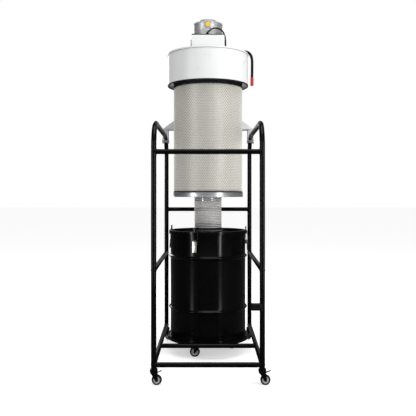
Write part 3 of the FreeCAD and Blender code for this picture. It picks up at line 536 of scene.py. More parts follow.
# %% [markdown]
# ## The stand
# The stand is bent and welded tube, and the CAD tubes already have the right bends, so they keep
# their shape and take the coat. What a plain tube joint lacks is the weld: a bead of small
# overlapping ripples that follows the saddle where one tube meets another. That curve has a
# formula, so each bead is a wire carried along it, rippling in and out a little as it goes.

# %% Stand
POST_R, BAR_R = 14.3 * MM, 13.5 * MM
BEAD_R = 1.7 * MM
RIPPLES = 22
for name in ("side_frame_left", "side_frame_right", "side_rails", "front_top_bar", "rear_cross_bar",
             "low_cross_bars"):
    dress(NODES[name], BLACK_COAT, "machine")


def weld_bead(meets, towards, post_r=POST_R, post_along="Z"):
    """Bead round a bar that leaves a tube: meets is a point on the tube's centreline."""
    meets, towards = Vector(meets), Vector(towards)
    along = Vector((0, 0, 1)) if post_along == "Z" else Vector((0, 1, 0))
    across = along.cross(towards)
    ring_r = BAR_R + 0.4 * BEAD_R
    reach = 0.3 * BEAD_R
    points = []
    for k in range(RIPPLES * 4):
        a = 2 * math.pi * k / (RIPPLES * 4)
        side = ring_r * math.cos(a)
        ripple = 0.2 * BEAD_R * math.cos(RIPPLES * a)
        out = math.sqrt(max(post_r ** 2 - side ** 2, 0.0)) + reach + ripple
        points.append(meets + towards * out + across * side + along * (ring_r * math.sin(a)))
    return wire(points, BEAD_R, 8, closed=True)


half_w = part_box("side_frame_right")[1].x - POST_R
half_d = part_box("side_frame_right")[1].y - POST_R
beads = []
for name, y in (("front_top_bar", -half_d), ("rear_cross_bar", half_d)):
    z = sum(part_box(name)[i].z for i in (0, 1)) / 2
    beads += [weld_bead((s * half_w, y, z), (-s, 0, 0)) for s in (-1, 1)]
low_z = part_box("low_cross_bars")[0].z + BAR_R
mid_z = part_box("side_rails")[1].z - BAR_R
for z in (low_z, mid_z):
    beads += [weld_bead((s * half_w, t * half_d, z), (0, -t, 0)) for s in (-1, 1) for t in (-1, 1)]
stop_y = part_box("low_cross_bars")[1].y - BAR_R
beads += [weld_bead((s * half_w, stop_y, low_z), (-s, 0, 0), BAR_R * 1.06, "Y") for s in (-1, 1)]
piece("weld_beads", *joined(beads), BLACK_COAT, slot="black_paint")
print("weld beads", len(beads))

# %% [markdown]
# ### Mounting beam and clamps
# The beam is folded sheet, so its edges are slightly round and it has a welded-on foot over each
# rail. Rounding a plate in Blender means bevelling only the edges that turn sharply, on a copy of
# the CAD mesh. Each stud of a clamp shows a washer above and a six-sided nut below.

# %% Mounting beam
# The beam's light grey is painted shade on its white coat.
plate("beam_sheet", "mounting_beam", 0.9, WHITE_COAT_PAINTED_SHADE, "grey_paint")
plate("clamp_plates", "beam_clamps", 0.7, ZINC, "zinc")
clamp_low, clamp_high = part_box("beam_clamps")
clamp_y = (clamp_low.y + clamp_high.y) / 2
STUD_STEP = 18.5 * MM
STRAP_T = 3.4 * MM
WASHER_R, WASHER_T = 7.5 * MM, 1.0 * MM
NUT_R, NUT_H = 5.6 * MM, 4.5 * MM
strap_z, under_z = clamp_high.z - STRAP_T, clamp_low.z
nuts = []
for side in (-1, 1):
    for step in (-STUD_STEP, STUD_STEP):
        x = side * half_w + step
        nuts.append(bar((x, clamp_y, strap_z - WASHER_T), (x, clamp_y, strap_z), WASHER_R, 32))
        nuts.append(bar((x, clamp_y, under_z - NUT_H), (x, clamp_y, under_z), NUT_R, sides=6))
piece("clamp_nuts", *joined(nuts), ZINC, slot="zinc")
print("clamp nuts", len(nuts))

# %% [markdown]
# ## Plenum
# The plenum is a rolled and welded drum of sheet steel. Its top is pressed with a turned-down lip,
# and the free bottom edge wears a rubber channel. Turned outlines give both, and the CAD wall stays
# because the inlet's hole is already cut through it.

# %% Plenum
shell_low, shell_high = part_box("plenum_shell")
top_low, top_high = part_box("plenum_top")
shell_r = (shell_high.x - shell_low.x) / 2 / MM
lip_r = (top_high.x - top_low.x) / 2 / MM
top_z, lip_z, skirt_z = top_high.z / MM, top_low.z / MM, shell_low.z / MM
dress(NODES["plenum_shell"], WHITE_COAT, "machine")
dress(NODES["plenum_floor"], WHITE_COAT, "machine")
cover = [(0, top_z - 3), (shell_r, top_z - 3), (shell_r, lip_z), (lip_r, lip_z), (lip_r, top_z),
         (lip_r - 9, top_z), (lip_r - 13, top_z - 1.2), (0, top_z - 1.2)]
piece("plenum_cover", *merged(*turned(rounded(mm(cover), 0.7 * MM), 240)), WHITE_COAT, slot="white_paint",
      stands_for=["plenum_top"])
trim_low, trim_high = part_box("skirt_trim")
SHELL_T, TRIM_T = 1.6, 1.5
trim_z0, trim_z1 = trim_low.z / MM, trim_high.z / MM
inside_r = shell_r - SHELL_T
outer, inner = shell_r + TRIM_T, inside_r - TRIM_T
channel = [(inner, trim_z0), (outer, trim_z0), (outer, trim_z1), (shell_r, trim_z1), (shell_r, skirt_z),
           (inside_r, skirt_z), (inside_r, trim_z1), (inner, trim_z1)]
spun("edge_trim", mm(channel), 0.6, RUBBER, "black_rubber", "skirt_trim")
print("plenum radius", round(shell_r, 1), "mm")

# %% [markdown]
# A rolled sheet has one straight seam where its ends meet. It is turned to the back here, a plain
# strip lapped over the wall. A thin grey line runs round the joint under the lip: painted shade, for
# the shade under the lip's overhang.

# %% Plenum seam
SEAM_DEG = 205
SEAM_W_MM = 16


def seam_strip(radius_mm, low_z_mm, high_z_mm, degrees, width_mm, proud_mm=0.5):
    """A lapped sheet edge: a thin curved strip up the wall."""
    verts, faces = [], []
    steps = 8
    for k in range(steps + 1):
        a = math.radians(degrees) + (k / steps - 0.5) * width_mm / radius_mm
        rise = proud_mm if 0 < k < steps else 0.02
        for r in (radius_mm + 0.01, radius_mm + rise):
            for z in (low_z_mm, high_z_mm):
                verts.append(on_stack(r * MM, a, z * MM))
    for k in range(steps):
        a, b = 4 * k, 4 * k + 4
        faces += [(a, b, b + 1, a + 1), (a + 2, a + 3, b + 3, b + 2),
                  (a, a + 2, b + 2, b), (a + 1, b + 1, b + 3, a + 3)]
    faces += [(0, 1, 3, 2), (4 * steps, 4 * steps + 2, 4 * steps + 3, 4 * steps + 1)]
    return verts, faces


rim_line = [on_stack(lip_r * MM, a, (lip_z + 0.6) * MM)
            for a in (2 * math.pi * k / 240 for k in range(240))]
# A thin grey line under the lip: painted shade, for the shade under the overhang.
piece("rim_gasket", *wire(rim_line, 1.1 * MM, 8, closed=True), JOINT_SHADE_GREY, slot="black_rubber")
piece("plenum_seam", *seam_strip(shell_r, trim_z1 + 1, lip_z - 1, SEAM_DEG, SEAM_W_MM), WHITE_COAT,
      slot="white_paint")

# %% [markdown]
# ## Inlet
# The spigot is rolled galvanised sheet. A bead near its mouth keeps a clamped hose from sliding
# off. A line of sealant closes the gap where it leaves the white wall.

# %% Inlet spigot
spigot_low, spigot_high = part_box("inlet_spigot")
spigot_x, spigot_z = (spigot_low.x + spigot_high.x) / 2, (spigot_low.z + spigot_high.z) / 2
spigot_r = (spigot_high.x - spigot_low.x) / 2
dress(NODES["inlet_spigot"], GALVANISED, "machine")
mouth_y = spigot_high.y
bead_points = [(spigot_x + spigot_r * math.cos(a), mouth_y - 4 * MM, spigot_z + spigot_r * math.sin(a))
               for a in (2 * math.pi * k / 120 for k in range(120))]
piece("spigot_bead", *wire(bead_points, 1.4 * MM, 10, closed=True), GALVANISED, slot="galvanised")
wall_weld = []
for k in range(160):
    a = 2 * math.pi * k / 160
    x = spigot_x + spigot_r * math.cos(a)
    y = STACK_Y + math.sqrt((shell_r * MM) ** 2 - x ** 2)
    wall_weld.append((x, y + 0.3 * MM, spigot_z + spigot_r * math.sin(a)))
piece("spigot_sealant", *wire(wall_weld, 2.0 * MM, 8, closed=True), WHITE_COAT, slot="white_paint")
print("spigot radius", round(spigot_r / MM, 1), "mm")

# %% [markdown]
# ## Filter
# The medium is one sheet of felt folded into deep pleats and closed into a ring. Seen from above
# it is a star with very many points, so the mesh is that star drawn upwards, with each fold
# rounded because felt will not crease sharply.

# %% Pleated medium
media_low, media_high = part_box("filter_media")
media_r = (media_high.x - media_low.x) / 2
PLEAT_PITCH = 8.5 * MM
PLEAT_DEPTH = 26 * MM
pleats = round(2 * math.pi * media_r / PLEAT_PITCH)
rng = np.random.default_rng(11)


def pleated_ring():
    section = []
    for k in range(pleats):
        lean = rng.uniform(-0.12, 0.12)
        for at, depth in ((-0.16, 0.06), (0.0, 0.0), (0.16, 0.06), (0.36, 0.94), (0.5, 1.0), (0.64, 0.94)):
            a = 2 * math.pi * (k + at + 0.5 * lean) / pleats
            r = media_r - 0.3 * MM - depth * PLEAT_DEPTH
            section.append((a, r))
    levels = [media_low.z, media_low.z + 0.1 * MM, media_high.z - 0.1 * MM, media_high.z]
    verts = [on_stack(r, a, z) for z in levels for a, r in section]
    count = len(section)
    faces = []
    for level in range(len(levels) - 1):
        for k in range(count):
            n = (k + 1) % count
            low, high = level * count, (level + 1) * count
            faces.append((low + k, low + n, high + n, high + k))
    return verts, faces


piece("pleated_felt", *pleated_ring(), FELT, slot="filter_cloth", stands_for=["filter_media"])
dress(NODES["cyclone_body"], GALVANISED, "machine")
dress(NODES["filter_seals"], RUBBER, "machine")
print("pleats", pleats)

# %% [markdown]
# ### Expanded mesh
# Expanded metal starts as a slit sheet that is pulled until every slit opens into a diamond. Each
# diamond here is one cell of a staggered grid: an outer diamond that it shares with its
# neighbours and an inner one for the hole, with a front, a back and the walls of the hole between.
# The lower edge of each hole leans out a little, as it does on the real sheet.

# %% Expanded mesh
screen_low, screen_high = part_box("filter_screen")
screen_r = (screen_high.x - screen_low.x) / 2
DIAMOND_W, DIAMOND_H = 12.5 * MM, 19.5 * MM
HOLE_SHARE = 0.72
SHEET_T = 1.0 * MM
LEAN = 0.45 * MM
columns = round(2 * math.pi * screen_r / DIAMOND_W)
rows = 2 * round((screen_high.z - screen_low.z) / DIAMOND_H)
row_h = (screen_high.z - screen_low.z) / rows


def expanded_mesh():
    verts, faces, shared = [], [], {}

    def point(u, v, depth, lean=0.0):
        """u counts half columns round the filter, v counts rows up it."""
        v = min(max(v, 0.0), float(rows))
        a = math.pi * u / columns
        r = screen_r - LEAN - depth + lean
        verts.append(on_stack(r, a, screen_low.z + v * row_h))
        return len(verts) - 1

    def corner(u, v, depth):
        key = (u % (2 * columns), v, depth)
        if key not in shared:
            shared[key] = point(u, v, depth)
        return shared[key]

    for row in range(1, rows):
        for column in range(columns):
            u = 2 * column + row % 2
            around = ((u, row - 1), (u + 1, row), (u, row + 1), (u - 1, row))
            outer = [[corner(a, b, d) for a, b in around] for d in (0.0, SHEET_T)]
            hole = []
            for d in (0.0, SHEET_T):
                hole.append([point(u + (a - u) * HOLE_SHARE, row + (b - row) * HOLE_SHARE, d,
                                   LEAN * (row - b)) for a, b in around])
            for k in range(4):
                n = (k + 1) % 4
                faces.append((outer[0][k], outer[0][n], hole[0][n], hole[0][k]))
                faces.append((outer[1][n], outer[1][k], hole[1][k], hole[1][n]))
                faces.append((hole[0][k], hole[0][n], hole[1][n], hole[1][k]))
    return verts, faces


piece("expanded_screen", *expanded_mesh(), MESH_PAINTED_HIGHLIGHT, slot="screen_wire", stands_for=["filter_screen"])
print("mesh", columns, "columns by", rows // 2, "diamonds")

# %% [markdown]
# ### End pan
# The pan under the filter is spun from bright sheet, with a rolled bead at the top edge and a
# turned-in lip at the bottom that hides the cut edge.

# %% End pan
pan_low, pan_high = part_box("filter_pan")
pan_r = (pan_high.x - pan_low.x) / 2 / MM
HOSE_OVER_COLLAR = 4.5
PAN_T, PAN_LIP = 2, 12
collar_r = (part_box("waste_hose")[1].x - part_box("waste_hose")[0].x) / 2 / MM - HOSE_OVER_COLLAR
z0, z1 = pan_low.z / MM, pan_high.z / MM
pan = [(collar_r, z1 - PAN_T), (pan_r - 2.2, z1 - PAN_T), (pan_r - 2.2, z0 + PAN_T),
       (pan_r - PAN_LIP, z0 + PAN_T), (pan_r - PAN_LIP, z0), (pan_r - 0.4, z0), (pan_r - 0.4, z0 + 3),
       (pan_r - 1.2, z0 + 5), (pan_r - 1.2, z1 - 4), (pan_r, z1 - 3), (pan_r, z1), (collar_r, z1)]
spun("spun_pan", mm(pan), 1.0, PAN_STEEL, "galvanised", "filter_pan")
print("pan radius", round(pan_r, 1), "mm")

# %% [markdown]
# ## Waste hose
# The hose is clear plastic wound over a wire helix, so its wall is a row of soft ribs one pitch
# apart. The outline of those ribs is turned round the axis as a thin double wall, and the helix is
# a wire that climbs one pitch a turn, just inside the ribs' outer radius.

# %% Clear hose
hose_low, hose_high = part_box("waste_hose")
hose_r = (hose_high.x - hose_low.x) / 2
HOSE_PITCH = 10.3 * MM
HOSE_SHEET = 0.9 * MM
BULGE = 4.2 * MM
RIB_INSET = 0.3 * MM
HELIX_R = 1.9 * MM
PLAIN_END = 12 * MM
PER_TURN = 10
turns = round((hose_high.z - hose_low.z - 2 * PLAIN_END) / HOSE_PITCH)
pitch = (hose_high.z - hose_low.z - 2 * PLAIN_END) / turns


def hose_outline(inset):
    line = [(hose_r - BULGE * 0.4 - inset, hose_low.z)]
    for k in range(turns * PER_TURN + 1):
        share = k / PER_TURN
        swell = 0.5 + 0.5 * math.cos(2 * math.pi * share)
        line.append((hose_r - BULGE * (1.0 - swell) - RIB_INSET - inset,
                     hose_low.z + PLAIN_END + share * pitch))
    line.append((hose_r - BULGE * 0.4 - inset, hose_high.z))
    return line


wall = hose_outline(0.0) + hose_outline(HOSE_SHEET)[::-1]
piece("ribbed_hose", *turned(wall, 144), CLEAR_HOSE, slot="clear_hose", stands_for=["waste_hose"])
helix = []
HELIX_STEPS = 64
for k in range(turns * HELIX_STEPS + 1):
    a = 2 * math.pi * k / HELIX_STEPS
    r = hose_r - RIB_INSET - HELIX_R
    z = hose_low.z + PLAIN_END + pitch * k / HELIX_STEPS
    helix.append(on_stack(r, a, z))
piece("hose_helix", *wire(helix, HELIX_R, 8), HOSE_RIB, slot="clear_hose")
print("hose turns", turns, "pitch", round(pitch / MM, 2), "mm")

# %% [markdown]
# The hose is held to the collar by a worm-drive band: a thin strip with rounded edges, and a screw
# with a six-sided head across its front.

# %% Hose clamp
band_low, band_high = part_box("hose_clamp")
band_r = hose_r + 0.9 * MM
BAND_H = 13 * MM
BAND_CROWN, BAND_BEVEL, BAND_INSET = 0.5 * MM, 1 * MM, 1.0 * MM
SCREW_X, HEAD_X, HEAD_END_X = -14 * MM, 12 * MM, 17 * MM
band_z = (band_low.z + band_high.z) / 2
band_z0, band_z1 = band_z - BAND_H / 2, band_z + BAND_H / 2
band = [(hose_r - BAND_INSET, band_z0), (band_r, band_z0), (band_r + BAND_CROWN, band_z0 + BAND_BEVEL),
        (band_r + BAND_CROWN, band_z1 - BAND_BEVEL), (band_r, band_z1), (hose_r - BAND_INSET, band_z1)]
spun("clamp_band", band, 0.3, BLACK_ABS, "black_plastic", "hose_clamp", 160)
screw_y = STACK_Y - band_r - 4.0 * MM
screw = [bar((SCREW_X, screw_y, band_z), (HEAD_X, screw_y, band_z), 4.4 * MM, 32, soften=0.6 * MM),
         bar((HEAD_X, screw_y, band_z), (HEAD_END_X, screw_y, band_z), 4.6 * MM, sides=6)]
piece("clamp_screw", *joined(screw), LOOP_WIRE, slot="black_plastic")
print("clamp radius", round(band_r / MM, 1), "mm")

# %% [markdown]
# ## Drum
# An open-top steel drum is a wall, a bottom and a lid. The wall has two rolling hoops pressed out
# of it and a curl at its top, and the bottom is seamed on with a chime. The outline below takes
# the drum's radii from the CAD mesh and runs the hoops as smooth cosine swells, with a faint
# shallow ring either side where the metal was drawn in.

# %% Drum wall
drum_low, drum_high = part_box("drum_body")
hoop_r = (drum_high.x - drum_low.x) / 2
WALL_T = 1.5 * MM
HOOP_ZS = (285 * MM, 610 * MM)
HOOP_HALF = 14 * MM
HOOP_RISE = 10.5 * MM
HOOP_DIP, DIP_SPREAD = 0.5 * MM, 0.2
HOOP_STEPS = 14
CURL_R = 3.3 * MM
wall_r = hoop_r - HOOP_RISE


def wall_face(radius, inset):
    """One face of the wall from bottom to top, with its hoops."""
    line = [(radius - inset, drum_low.z)]
    for z in HOOP_ZS:
        for k in range(-HOOP_STEPS, HOOP_STEPS + 1):
            t = k / HOOP_STEPS
            swell = 0.5 * (1 + math.cos(math.pi * t))
            dip = HOOP_DIP * math.exp(-((abs(t) - 1.0) / DIP_SPREAD) ** 2)
            line.append((radius - inset + (hoop_r - radius) * swell ** 1.2 - dip, z + t * HOOP_HALF))
    line.append((radius - inset, drum_high.z - 2 * CURL_R))
    return line


curl = [(wall_r + CURL_R * (1 - math.cos(a)), drum_high.z - CURL_R + CURL_R * math.sin(a))
        for a in (math.radians(d) for d in range(0, 360, 20))]
wall_outline = wall_face(wall_r, 0.0) + wall_face(wall_r, WALL_T)[::-1]
piece("drum_wall", *joined([turned(wall_outline, 240), turned(curl, 240)]), BLACK_COAT,
      slot="black_paint", stands_for=["drum_body"])
print("drum radius", round(wall_r / MM, 1), "mm, hoops", round(hoop_r / MM, 1), "mm")

# %% [markdown]
# The lid is pressed: a skirt over the curl, a raised rim, a step down to a flat panel and a collar
# up for the hose. Rounding every corner of the outline by the press radius makes it read as sheet.

# %% Lid and bottom
LID_T = 1.5 * MM
RIM_Z, LID_SKIRT_Z, PANEL_Z = 772 * MM, 750 * MM, 757 * MM
COLLAR_R = 84 * MM
CUP_GAP = 3.0 * MM
PRESS_R_MM = 1.4
lid_low, lid_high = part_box("drum_lid")
lid_r, collar_top = (lid_high.x - lid_low.x) / 2, lid_high.z
cup_r = wall_r - CUP_GAP
lid = [(COLLAR_R - LID_T, collar_top), (COLLAR_R, collar_top), (COLLAR_R, PANEL_Z), (cup_r - LID_T, PANEL_Z),
       (cup_r - LID_T, RIM_Z), (lid_r, RIM_Z), (lid_r, LID_SKIRT_Z), (lid_r - LID_T, LID_SKIRT_Z),
       (lid_r - LID_T, RIM_Z - LID_T), (cup_r, RIM_Z - LID_T), (cup_r, PANEL_Z - LID_T),
       (COLLAR_R - LID_T, PANEL_Z - LID_T)]
spun("pressed_lid", lid, PRESS_R_MM, BLACK_COAT, "black_paint", "drum_lid")
dress(NODES["drum_bottom"], BLACK_COAT, "machine")
dress(NODES["dolly_ring"], BLACK_COAT, "machine")
print("lid radius", round(lid_r / MM, 1), "mm")

# %% [markdown]
# ### Latches
# Each latch is a folded lever on a small plate with a wire loop pulled down over the lid. The
# levers and plates are folded from thin plate, so their copies get small bevels. The loop is one
# bent wire: the path has quarter-turn corners at the top and ends in short feet, turned in at the
# lever.

# %% Latches
LATCH_DEGREES = (-18, 72, 162, 252)
WIRE_R = 1.5 * MM
LOOP_HALF_W = 17 * MM
LOOP_U, LOOP_TOP_U, LOOP_FOOT_Z, LOOP_TOP_Z = 251.5 * MM, 254.5 * MM, 693 * MM, 771 * MM
LOOP_CORNER = 7 * MM
LOOP_FOOT = 3 * MM


def round_stack(point, degrees):
    """Local (x, u, z), with u measured out from the stack's axis, turned about that axis."""
    a = math.radians(degrees)
    x, u, z = point
    return (x * math.cos(a) + u * math.sin(a), STACK_Y + x * math.sin(a) - u * math.cos(a), z)


def latch_wire():
    """Local points of one loop: foot, leg, corner, corner, leg, foot."""
    leg_top = LOOP_TOP_Z - LOOP_CORNER
    foot_x = LOOP_HALF_W - LOOP_FOOT
    path = []
    for side in (-1, 1):
        part = [(side * LOOP_HALF_W, LOOP_U + (LOOP_TOP_U - LOOP_U) * t,
                 LOOP_FOOT_Z + (leg_top - LOOP_FOOT_Z) * t) for t in (0.0, 0.33, 0.66, 1.0)]
        for a in (math.radians(d) for d in (18, 36, 54, 72, 90)):
            part.append((side * (LOOP_HALF_W - LOOP_CORNER * (1 - math.cos(a))), LOOP_TOP_U,
                         LOOP_TOP_Z - LOOP_CORNER * (1 - math.sin(a))))
        path += part if side < 0 else part[::-1]
    return [(-foot_x, LOOP_U, LOOP_FOOT_Z)] + path + [(foot_x, LOOP_U, LOOP_FOOT_Z)]


for i, degrees in enumerate(LATCH_DEGREES, 1):
    plate(f"lever_plate_{i}", f"latch_lever_{i}", 0.7, NICKEL, "nickel", f"lever_{i}")
    path = [round_stack(p, degrees) for p in latch_wire()]
    piece(f"loop_wire_{i}", *wire(path, WIRE_R, 12), LOOP_WIRE, f"loop_{i}", "nickel", [f"latch_loop_{i}"])
plate("latch_bases", "latch_plates", 0.5, BLACK_COAT, "black_paint")
print("latches", len(LATCH_DEGREES))

# %% [markdown]
# ## Motor housing
# The square housing is folded white sheet with generous corners, clamped down by over-centre
# catches at the sides. The motor above it has a drawn aluminium can and a stepped end cap. A can
# is drawn from one disc, so its outline has soft shoulders and a shallow rolled groove.

# %% Motor housing
plate("housing_sheet", "motor_box", 3.0, WHITE_COAT, "white_paint", segments=4)
plate("housing_seal", "motor_seal", 1.5, RUBBER, "black_rubber", segments=3)
plate("catch_bodies", "box_catches", 0.9, NICKEL, "nickel")
motor_low, motor_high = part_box("motor_body")
motor_r = (motor_high.x - motor_low.x) / 2 / MM
z0, z1 = motor_low.z / MM, motor_high.z / MM
CAP_R = 51.5
CAN_H = 84
can_r, groove_r = motor_r - 2.4, motor_r - 3.6
shoulder = z0 + CAN_H
can = [(0, z0), (motor_r, z0), (motor_r, z0 + 5), (can_r, z0 + 7), (can_r, z0 + 30), (groove_r, z0 + 32),
       (groove_r, z0 + 35), (can_r, z0 + 37), (can_r, shoulder - 10), (motor_r, shoulder - 8),
       (motor_r, shoulder), (motor_r - 8, shoulder), (motor_r - 10, shoulder - 2), (CAP_R + 10, shoulder - 2),
       (CAP_R + 4, shoulder + 2), (CAP_R, shoulder + 4), (CAP_R, z1 - 4), (CAP_R - 9, z1), (24, z1),
       (21, z1 - 2), (0, z1 - 2)]
piece("motor_can", *merged(*turned(rounded(mm(can), 1.3 * MM), 200)), ALUMINIUM, slot="aluminium",
      stands_for=["motor_body"])
RIBS = 24
RIB_ENDS = ((38, 0.6), (46, 3.4))
ribs = []
for k in range(RIBS):
    a = 2 * math.pi * (k + 0.5) / RIBS
    low, high = [on_stack(r * MM, a, motor_high.z - drop * MM) for r, drop in RIB_ENDS]
    ribs.append(bar(low, high, 1.1 * MM, 12))
piece("motor_ribs", *joined(ribs), ALUMINIUM, slot="aluminium")
plate("plug_body", "motor_plug", 1.0, YELLOW_ABS, "yellow_plastic", segments=3)
dress(NODES["cable_glands"], BLACK_ABS, "machine")
plate("switch_case", "switch_box", 1.6, BLACK_ABS, "black_plastic", segments=3)
print("motor radius", round(motor_r, 1), "mm")

# %% [markdown]
# ### Cable and drop tube
# Both are flexible, so each is a curve through its route with a round section. The cable leaves
# the motor's plug and enters the gland on the housing. The tube leaves an elbow on the plenum's
# top, bends over and hangs down to a red tip.

# %% Cords
CABLE_ROUTE = [(-4, 122, 2013), (14, 122, 2034), (48, 121, 2045), (84, 123, 2033), (107, 127, 1999),
               (111.5, 133, 1953), (112, 136, 1901)]
CABLE_OD = 9
DROP_ROUTE = [(202, 222, 1913), (234, 222, 1919), (261, 221, 1913), (278, 220, 1892), (284, 219, 1863),
              (284, 219, 1811), (283, 219, 1751)]
DROP_OD = 17.4


def line_along(name, route, resolution):
    """A curve object that runs smoothly along a route in millimetres, without thickness."""
    curve = bpy.data.curves.new(name, "CURVE")
    curve.dimensions = "3D"
    spline = curve.splines.new("NURBS")
    spline.points.add(len(route) - 1)
    for spot, at in zip(spline.points, route):
        spot.co = (at[0] * MM, at[1] * MM, at[2] * MM, 1.0)
    spline.order_u = 3
    spline.use_endpoint_u = True
    spline.resolution_u = resolution
    made = bpy.data.objects.new(name, curve)
    bpy.context.scene.collection.objects.link(made)
    return made


def cord(name, route, diameter, material):
    """A flexible cord of round section along a route."""
    made = line_along(name, route, 16)
    made.data.bevel_depth = diameter * MM / 2
    made.data.bevel_resolution = 8
    made.data.use_fill_caps = True
    made.data.materials.append(material)
    return made


def cord_length(route):
    """Length of the curve's line, found by a fine walk along a throwaway copy."""
    walker = line_along("walk", route, 64)
    mesh = walker.to_mesh()
    spots = mesh.vertices
    total = sum((spots[e.vertices[0]].co - spots[e.vertices[1]].co).length for e in mesh.edges)
    walker.to_mesh_clear()
    bpy.data.objects.remove(walker)
    return total


motor_cable = cord("cable_line", CABLE_ROUTE, CABLE_OD, CABLE_RUBBER)
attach(motor_cable, "machine")
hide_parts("motor_cable")
cord_length(CABLE_ROUTE)
drop_tube = cord("drop_line", DROP_ROUTE, DROP_OD, CABLE_RUBBER)
tip_low, tip_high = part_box("drop_tube_tip")
tip_x, tip_y = (tip_low.x + tip_high.x) / 2 / MM, (tip_low.y + tip_high.y) / 2 / MM
tip_r = (tip_high.x - tip_low.x) / 2 / MM
z0, z1 = tip_low.z / MM, tip_high.z / MM
tip = [(0, z0), (tip_r - 0.4, z0), (tip_r, z0 + 2), (tip_r, z1 - 3), (tip_r - 0.7, z1), (0, z1)]
tip_mesh = merged(*turned(rounded(mm(tip), 2.0 * MM), 48, (tip_x * MM, tip_y * MM)))
tip_piece = piece("vinyl_tip", *tip_mesh, RED_VINYL, slot="red_plastic", stands_for=["drop_tube_tip"])
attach(drop_tube, "machine")
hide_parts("drop_tube")
cord_length(DROP_ROUTE)
print("cable", round(cord_length(CABLE_ROUTE), 4), "m, drop tube", round(cord_length(DROP_ROUTE), 4), "m")

# %% [markdown]
# ## Casters
# A caster's fork is folded plate, and its wheel is a tread bonded to a moulded hub. The wheel is
# turned like the drum, then laid over and swung to the direction in which its fork trails. A tread
# has a slightly crowned face, which the outline takes as an arc.

# %% Casters
CASTERS = {"front_left": 0, "front_right": 0, "rear_left": 0, "rear_right": 115,
           "dolly_1": 180, "dolly_2": 180, "dolly_3": 180}
STAND_HALF_W, DOLLY_HALF_W = 10.0, 11.0
CROWN, CROWN_GAP = 2.6, 0.3
HUB_R, BORE_R = 9.0, 7.2


def laid_over(made, centre, degrees):
    """Turns an upright-axis mesh so that its axis lies flat, square to the trailing direction."""
    verts, faces = made
    turn = Matrix.Rotation(math.radians(degrees), 4, "Z") @ Matrix.Rotation(math.radians(90), 4, "X")
    return [tuple(centre + turn @ Vector(v)) for v in verts], faces


def tyre(r, w):
    """Outline of a tread of outer radius r and half width w: a side, the crown, the other side."""
    crown = [(r - CROWN * (1 - math.cos(a)) - CROWN_GAP, w * math.sin(a))
             for a in (math.radians(d) for d in range(-70, 71, 14))]
    side = [(r * 0.66, w * 0.86), (r * 0.72, w * 0.98), (r * 0.86, w)]
    return [(x, -y) for x, y in side] + crown + side[::-1]


def hub(r, w):
    """Outline of the moulded hub inside that tread, dished between its core and its rim."""
    rim, dish = r * 0.67, w * 0.62
    face = [(0, w), (BORE_R, w), (HUB_R, w * 0.8), (HUB_R + 1.5, dish), (rim - 3.4, dish),
            (rim - 2.0, w * 0.84), (rim, w * 0.88)]
    return face[::-1] + [(x, -y) for x, y in face]


for name, degrees in CASTERS.items():
    low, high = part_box("wheel_" + name)
    centre = (low + high) / 2
    r = (high.z - low.z) / 2 / MM
    w = DOLLY_HALF_W if name.startswith("dolly") else STAND_HALF_W
    carrier = "roller_" + name
    tread = laid_over(turned(rounded(mm(tyre(r, w)), 0.8 * MM), 96, (0.0, 0.0)), centre, degrees)
    nylon = laid_over(merged(*turned(rounded(mm(hub(r, w)), 0.7 * MM), 72, (0.0, 0.0))), centre, degrees)
    piece("tread_" + name, *tread, TREAD, carrier, "tyre_rubber", ["wheel_" + name])
    piece("hub_" + name, *nylon, HUB_PLASTIC, carrier, "tyre_rubber")
    plate("fork_plate_" + name, "fork_" + name, 0.8, BLACK_COAT, "black_paint", "swivel_" + name)
for name in ("front_left", "front_right"):
    plate("pedal_plate_" + name, "brake_pedal_" + name, 0.8, BLACK_ABS, "black_plastic", "pedal_" + name)
plate("caster_cups", "caster_stems", 0.8, BLACK_COAT, "black_paint")
print("casters", len(CASTERS))

# %% [markdown]
# ## Floor and light
# The set is white on white: a pale floor that runs out of sight, and a white world. Gloss black
# shows hardly anything but what it reflects, so its upright highlights come from two tall lamps,
# streak_left and streak_right, which light no matt surface. Around them the world is dim to glossy
# rays, with a broad brighter patch in front and a soft one behind. Light Path nodes, here in the
# world and in the floor only, keep the backdrop plain white for the camera and choose those levels
# for the other rays. They also let the floor glow a little for the camera and look dark in
# reflections.

# %% Stage
floor_z = CAD_LOW[2]
FLOOR = 40.0
floor_mesh = bpy.data.meshes.new("floor")
floor_corners = [(FLOOR * x, FLOOR * y, floor_z) for x, y in ((-1, -1), (1, -1), (1, 1), (-1, 1))]
floor_mesh.from_pydata(floor_corners, [], [(0, 1, 2, 3)])
floor = bpy.data.objects.new("floor", floor_mesh)
FLOOR_PAINT, floor_tree, floor_surface = finish(
    "pale_studio_floor", "#FFFFFF", 0.0, 0.75, Specular_IOR_Level=0.1, Emission_Color=linear("#FFFFFF"))
floor_ray = add(floor_tree, "ShaderNodeLightPath")
floor_tone = add(floor_tree, "ShaderNodeMapRange", None,
                 {"Value": floor_ray.outputs["Is Glossy Ray"], "To Min": 0.95, "To Max": 0.1})
floor_tree.links.new(floor_tone.outputs["Result"], floor_surface.inputs["Base Color"])
floor_glow = add(floor_tree, "ShaderNodeMapRange", None,
                 {"Value": floor_ray.outputs["Is Camera Ray"], "To Min": 0.0, "To Max": 0.5})
floor_tree.links.new(floor_glow.outputs["Result"], floor_surface.inputs["Emission Strength"])
floor_mesh.materials.append(FLOOR_PAINT)
bpy.context.scene.collection.objects.link(floor)
print("floor at", round(floor_z, 4))


# %% Lights
def soft_box(name, place_at, aim, size, watts):
    """A flat rectangular light that faces a point."""
    data = bpy.data.lights.new(name, "AREA")
    data.shape = "RECTANGLE"
    data.size, data.size_y = size
    data.energy = watts
    made = bpy.data.objects.new(name, data)
    made.location = place_at
    made.rotation_euler = (Vector(aim) - Vector(place_at)).to_track_quat("-Z", "Y").to_euler()
    bpy.context.scene.collection.objects.link(made)


